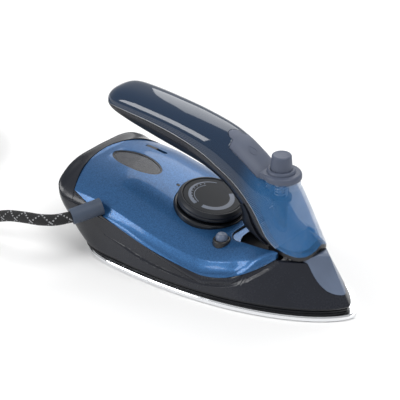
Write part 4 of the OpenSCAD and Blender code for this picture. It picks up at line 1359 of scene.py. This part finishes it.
@dataclass
class Fittings:
    """The window, its rim and the latch button on the cover."""

    body: Body = field(default_factory=Body)
    ring_r: float = 5.2
    button_r: float = 3.5
    fold_seat: float = 29.5

    def make(self, build: Build) -> None:
        """Builds and places the small parts."""
        form, body = self.body.form, self.body
        lens = carve(form.envelope("window", 0.55, form.shield_top, 300, 44, 60, "cover"),
                     body.ellipse(-1.15, 30, 60), "INTERSECT")
        carve(lens, form.core(2.6))
        build.place(lens, "base", Slot.LENS, ["pilot_lens"], 40)
        rim = carve(form.envelope("window_rim", 0.18, form.shield_top, 300, 44, 60, "cover"),
                    body.ellipse(-0.12, 30, 60), "INTERSECT")
        carve(rim, body.ellipse(-1.1, 20, 70))
        carve(rim, form.core(2.6))
        build.place(soften(rim, 0.2, 2, 50), "base", Slot.BLACK, [], 40)
        x, y = body.fold_at
        at = Matrix.Translation((x, y, 0))
        low, r, b = self.fold_seat, self.ring_r, self.button_r
        ring = lathe("latch_ring", fillet([(b + 0.15, 16.2, 0), (r, 16.2, 0), (r, low + 0.7, 0.5),
                                           (r - 0.7, low + 1.2, 0.5), (b + 0.5, low + 1.2, 0.4),
                                           (b + 0.15, low + 0.8, 0)]), at, 72)
        build.place(ring, "base", Slot.BLACK, ["fold_button_ring"], 40)
        top = low + 4.6
        push = lathe("latch_push", fillet([
            (0, 25, 0), (b, 25, 0), (b, top - 1.5, 0.9), (b - 1.3, top - 0.15, 0.9),
            (b - 2.2, top - 0.35, 0.6), (0, top - 0.5, 0)]), at, 72)
        build.place(push, "latch", Slot.SLATE, ["fold_button"], 40)


# ---------------------------------------------------------------- cord


@dataclass
class Cord:
    """The braided mains cord from the guard to its coil, and the tie round the coil."""

    diameter: float = 6.8
    centre: tuple[float, float] = (-252.0, -28.0)
    turn_r: float = 50.4
    inner_r: float = 30.0
    leave_r: float = 53.7
    turns: int = 3
    floor_x: float = -240.0
    spacing: float = 2.4
    sides: int = 22
    low: float = 4.2
    high: float = 11.0
    route: tuple[tuple[float, float, float], ...] = (
        (-75, -57, 30.5), (-81, -64.5, 29.5), (-89, -69.5, 29), (-98, -71.5, 28),
        (-112, -72.5, 24.5), (-126, -73.5, 18.5), (-140, -74.5, 12), (-154, -75.5, 7),
        (-168, -76.5, 4.8), (-182, -77.5, 4.2), (-200, -78.4, 4.2), (-228, -78.4, 4.2))
    tail: tuple[tuple[float, float, float], ...] = (
        (-290, -66, 11), (-298, -58, 10.6), (-305.5, -50.4, 11.4), (-312.2, -42.8, 13.6),
        (-317, -34.4, 16.6), (-319, -26, 18.6))

    def curve(self, points: Sequence[Point], per: int = 8) -> np.ndarray:
        """A smooth line through points."""
        p = np.array(points, float)
        p = np.vstack([2 * p[0] - p[1], p, 2 * p[-1] - p[-2]])
        t = np.linspace(0, 1, per, endpoint=False)[:, None]
        out = [0.5 * (2 * b + (c - a) * t + (2 * a - 5 * b + 4 * c - d) * t ** 2
                      + (3 * b - a - 3 * c + d) * t ** 3)
               for a, b, c, d in zip(p, p[1:], p[2:], p[3:])]
        return np.vstack([*out, p[-2:-1]])

    def coil(self) -> np.ndarray:
        """Three turns inwards on the floor, then three outwards on top of them."""
        cx, cy = self.centre
        layer, both, out = self.turns, 2 * self.turns, 1 / 8
        n = np.linspace(0, both + out, both * 64 + 8)[1:]
        gap = self.diameter
        last = self.inner_r + gap * layer
        r = np.where(n <= layer, self.turn_r - gap * n, self.inner_r + gap * (n - layer))
        r = np.where(n > both, last + (self.leave_r - last) * (n - both) / out, r)
        z = self.low + (self.high - self.low) * smooth((n - (layer - 0.25)) / 0.3)
        a = np.radians(270) - math.tau * n
        return np.stack([cx + r * np.cos(a), cy + r * np.sin(a), z], 1)

    def path(self) -> np.ndarray:
        """The whole centre line in millimetres, evenly spaced."""
        cx, cy = self.centre
        straight = np.array([(self.floor_x, self.route[-1][1], self.low),
                             (cx, cy - self.turn_r, self.low)])
        line = np.vstack([self.curve(self.route), straight, self.coil(), self.curve(self.tail)[1:]])
        ahead = distances(line)
        even = np.linspace(0, ahead[-1], int(ahead[-1] / self.spacing))
        return np.stack([np.interp(even, ahead, line[:, k]) for k in range(3)], 1)

    def make(self, build: Build, with_pieces: Sequence[bpy.types.Object]) -> None:
        line, s = self.path(), self.sides
        step = np.gradient(line, axis=0)
        step /= np.linalg.norm(step, axis=1)[:, None]
        side = np.cross(step[0], (0, 0, 1.0))
        points = []
        for p, t in zip(line, step):
            side = side - t * np.dot(side, t)
            side /= np.linalg.norm(side)
            up = np.cross(t, side)
            for k in range(s):
                a = k * math.tau / s
                out = side * math.cos(a) + up * math.sin(a)
                points.append((p + out * self.diameter / 2) * MM)
        m = len(line)
        faces = bands(m, s)
        faces += [tuple(range(s))[::-1], tuple((m - 1) * s + k for k in range(s))]
        mesh = bpy.data.meshes.new("mains_cord")
        mesh.from_pydata([tuple(p) for p in points], [], faces)
        shape = bmesh.new()
        shape.from_mesh(mesh)
        bmesh.ops.recalc_face_normals(shape, faces=shape.faces)
        shape.to_mesh(mesh)
        shape.free()
        along = distances(line) * MM
        layer = mesh.uv_layers.new(name="along")
        for face in mesh.polygons:
            ks = [mesh.loops[i].vertex_index % s for i in face.loop_indices]
            wraps = len(ks) == 4 and max(ks) - min(ks) > 1
            for i, k in zip(face.loop_indices, ks):
                j = mesh.loops[i].vertex_index // s
                layer.data[i].uv = ((s if wraps and k == 0 else k) / s, along[j])
        piece = object_from("mains_cord", mesh)
        build.place(piece, "base", Slot.BRAID, ["power_cord", "cord_coil", "cord_tail"], 60)
        LOG.info("cord length %.3f m", along[-1])

    def tie(self, build: Build) -> bpy.types.Object:
        """Builds the band that holds the coil."""
        gap = self.diameter
        x0 = self.centre[0] + self.turn_r - 3.5 * gap - 1.9
        x1 = self.centre[0] + self.turn_r + gap / 2 + 1.3
        top = 0.8 + 2 * gap + 1
        upright = Matrix.Rotation(math.radians(90), 4, "X")
        turn = Matrix.Translation((0, self.centre[1], 0)) @ upright
        rings = []
        for inset in (0.0, 0.75):
            plan = rounded_plan(x0 + inset, x1 - inset, top - 2 * inset, 3.2 - inset)
            rings.append([(x, z + top / 2) for x, z in plan])
        outer = prism("cord_band", rings[0], -6, 6, turn)
        carve(outer, prism("inside", rings[1], -8, 8, turn))
        return build.place(soften(outer, 0.25), "base", Slot.TIE, ["cord_tie"], 40)


@dataclass
class Plug:
    """A two-pin mains plug with a ribbed strain relief."""

    start: tuple[float, float, float] = (-319.0, -26.0, 18.6)
    r: float = 18.0
    long: float = 54.0
    pin_r: float = 2.4
    pin_gap: float = 19.0
    pin_root: float = 5.9
    ribs: int = 5
    rib_pitch: float = 3.2

    def make(self, build: Build) -> list[bpy.types.Object]:
        """Builds the plug's body and pins."""
        turn = Matrix.Rotation(math.radians(-90), 4, "X")
        place = Matrix.Translation(self.start) @ turn
        profile = [(0, 0, 0), (4.5, 0, 0.3)]
        for k in range(self.ribs):
            z = 2.6 + k * self.rib_pitch
            r = 4.6 + z * 0.13
            profile += [(r, z, 0.2), (r - 0.9, z + 0.3, 0.1), (r - 0.8, z + 1.4, 0.1),
                        (r + 0.1, z + 1.7, 0.2)]
        r, end = self.r, self.long
        profile += [(7, 18, 1), (12, 23, 3), (15.5, 31, 4), (r, 38, 3), (r, end - 1, 0.8),
                    (r - 1, end, 0.4), (0, end, 0)]
        body = lathe("plug_shell", fillet(profile), place, 96)
        metres = Matrix.Translation(Vector(self.start) * MM) @ turn
        for side in (-1, 1):
            at = side * (r - 0.5)
            flat = box("flat", (at - 2, -3, end - 14), (at + 2, 3, end + 6))
            flat.data.transform(metres)
            carve(body, flat)
        build.place(soften(body, 0.25), "base", Slot.PLUG, ["plug_body"], 35)
        r = self.pin_r
        shape = fillet([(0, 6, 0), (r - 0.02, 6, 0), (r, 6.1, 0), (r, 23.4, 1.0),
                        (r - 1.2, 24.9, 0.8), (0, 24.9, 0)])
        pair = join([lathe("plug_pin", shape, place @ Matrix.Translation(
            (side * self.pin_gap / 2, 0, end - self.pin_root)), 48) for side in (-1, 1)])
        build.place(pair, "base", Slot.PIN, ["plug_pins"], 40)
        return [body, pair]


# ---------------------------------------------------------------- the rest


class Inner:
    """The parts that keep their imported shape: the sole, the works inside and the screws.

    The hinge's pin and brackets are shown black, though the record says steel.
    """

    def __init__(self, frame: dict[str, object]) -> None:
        """Reads each node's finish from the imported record."""
        self.nodes = frame["nodes"]
        self.hidden = {"hinge_brackets": Slot.BLACK, "hinge_pin": Slot.BLACK}
        self.finish = {part["node"]: part["material_slot"] for part in frame["record"]["subparts"]}

    def dress(self, build: Build) -> None:
        """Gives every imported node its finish."""
        for name, node in self.nodes.items():
            material = build.palette[self.hidden.get(name, Slot(self.finish[name]))]
            if not node.material_slots:
                node.data.materials.append(material)
            for place in node.material_slots:
                place.material = material
        LOG.info("%d packed nodes have their finish", len(self.nodes))


@dataclass
class Studio:
    """A pale floor, soft lights and the camera."""

    azimuth: float = math.radians(40)
    elevation: float = math.radians(29.5)
    target: tuple[float, float, float] = (-24.69, 0.0, 35.44)
    distance: float = 1000.0
    lens: float = 153.0
    floor_half: float = 4.0

    def make(self) -> None:
        """Builds the studio."""
        flat, up = math.cos(self.elevation), math.sin(self.elevation)
        away = Vector((flat * math.sin(self.azimuth), -flat * math.cos(self.azimuth), up))
        eye = bpy.data.cameras.new("studio_camera")
        eye.lens, eye.sensor_width, eye.clip_end = self.lens, 36.0, 50.0
        camera = object_from("studio_camera", eye)
        camera.location = (Vector(self.target) + away * self.distance) * MM
        camera.rotation_euler = away.to_track_quat("Z", "Y").to_euler()
        bpy.context.scene.camera = camera
        self.floor()
        self.light("key", (0.55, 0.15, 1.35), 0.9, 10)
        self.light("left", (-0.75, -1.05, 0.75), 0.6, 8)
        self.light("back", (-0.5, 1.2, 1.0), 1.0, 8)
        world = bpy.data.worlds.new("studio_world")
        world.use_nodes = True
        world.node_tree.nodes["Background"].inputs[0].default_value = (1, 1, 1, 1)
        world.node_tree.nodes["Background"].inputs[1].default_value = 0.55
        bpy.context.scene.world = world
        bpy.context.scene.view_settings.view_transform = "Standard"

    def floor(self) -> None:
        """A plain pale floor."""
        h = self.floor_half
        mesh = bpy.data.meshes.new("studio_floor")
        mesh.from_pydata([(-h, -h, 0), (h, -h, 0), (h, h, 0), (-h, h, 0)], [], [(0, 1, 2, 3)])
        piece = object_from("studio_floor", mesh)
        paint = Shader("studio_floor")
        cloud = paint.noise(3, 2)
        mesh.materials.append(paint.dress(Base_Color=(0.93, 0.93, 0.93),
                                          Roughness=cloud * 0.1 + 0.7))

    def light(self, name: str, where: Point, size: float, power: float) -> None:
        """A square soft light aimed at the iron."""
        lamp = bpy.data.lights.new(name, "AREA")
        lamp.size, lamp.energy = size, power
        piece = object_from(name, lamp)
        piece.location = where
        aim = Vector(where) - Vector(self.target) * MM
        piece.rotation_euler = aim.to_track_quat("Z", "Y").to_euler()


def main() -> None:
    """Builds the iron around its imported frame."""
    logging.basicConfig(level=logging.INFO, format="%(name)s: %(message)s")
    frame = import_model()
    Studio().make()
    build = Build(Palette())
    cord = Cord()
    cord.make(build, [*Plug().make(build), cord.tie(build)])
    for part in (Body(), CordGuard(), Dial(), Fittings(), Handle()):
        part.make(build)
    Inner(frame).dress(build)


if __name__ == "__main__":
    main()
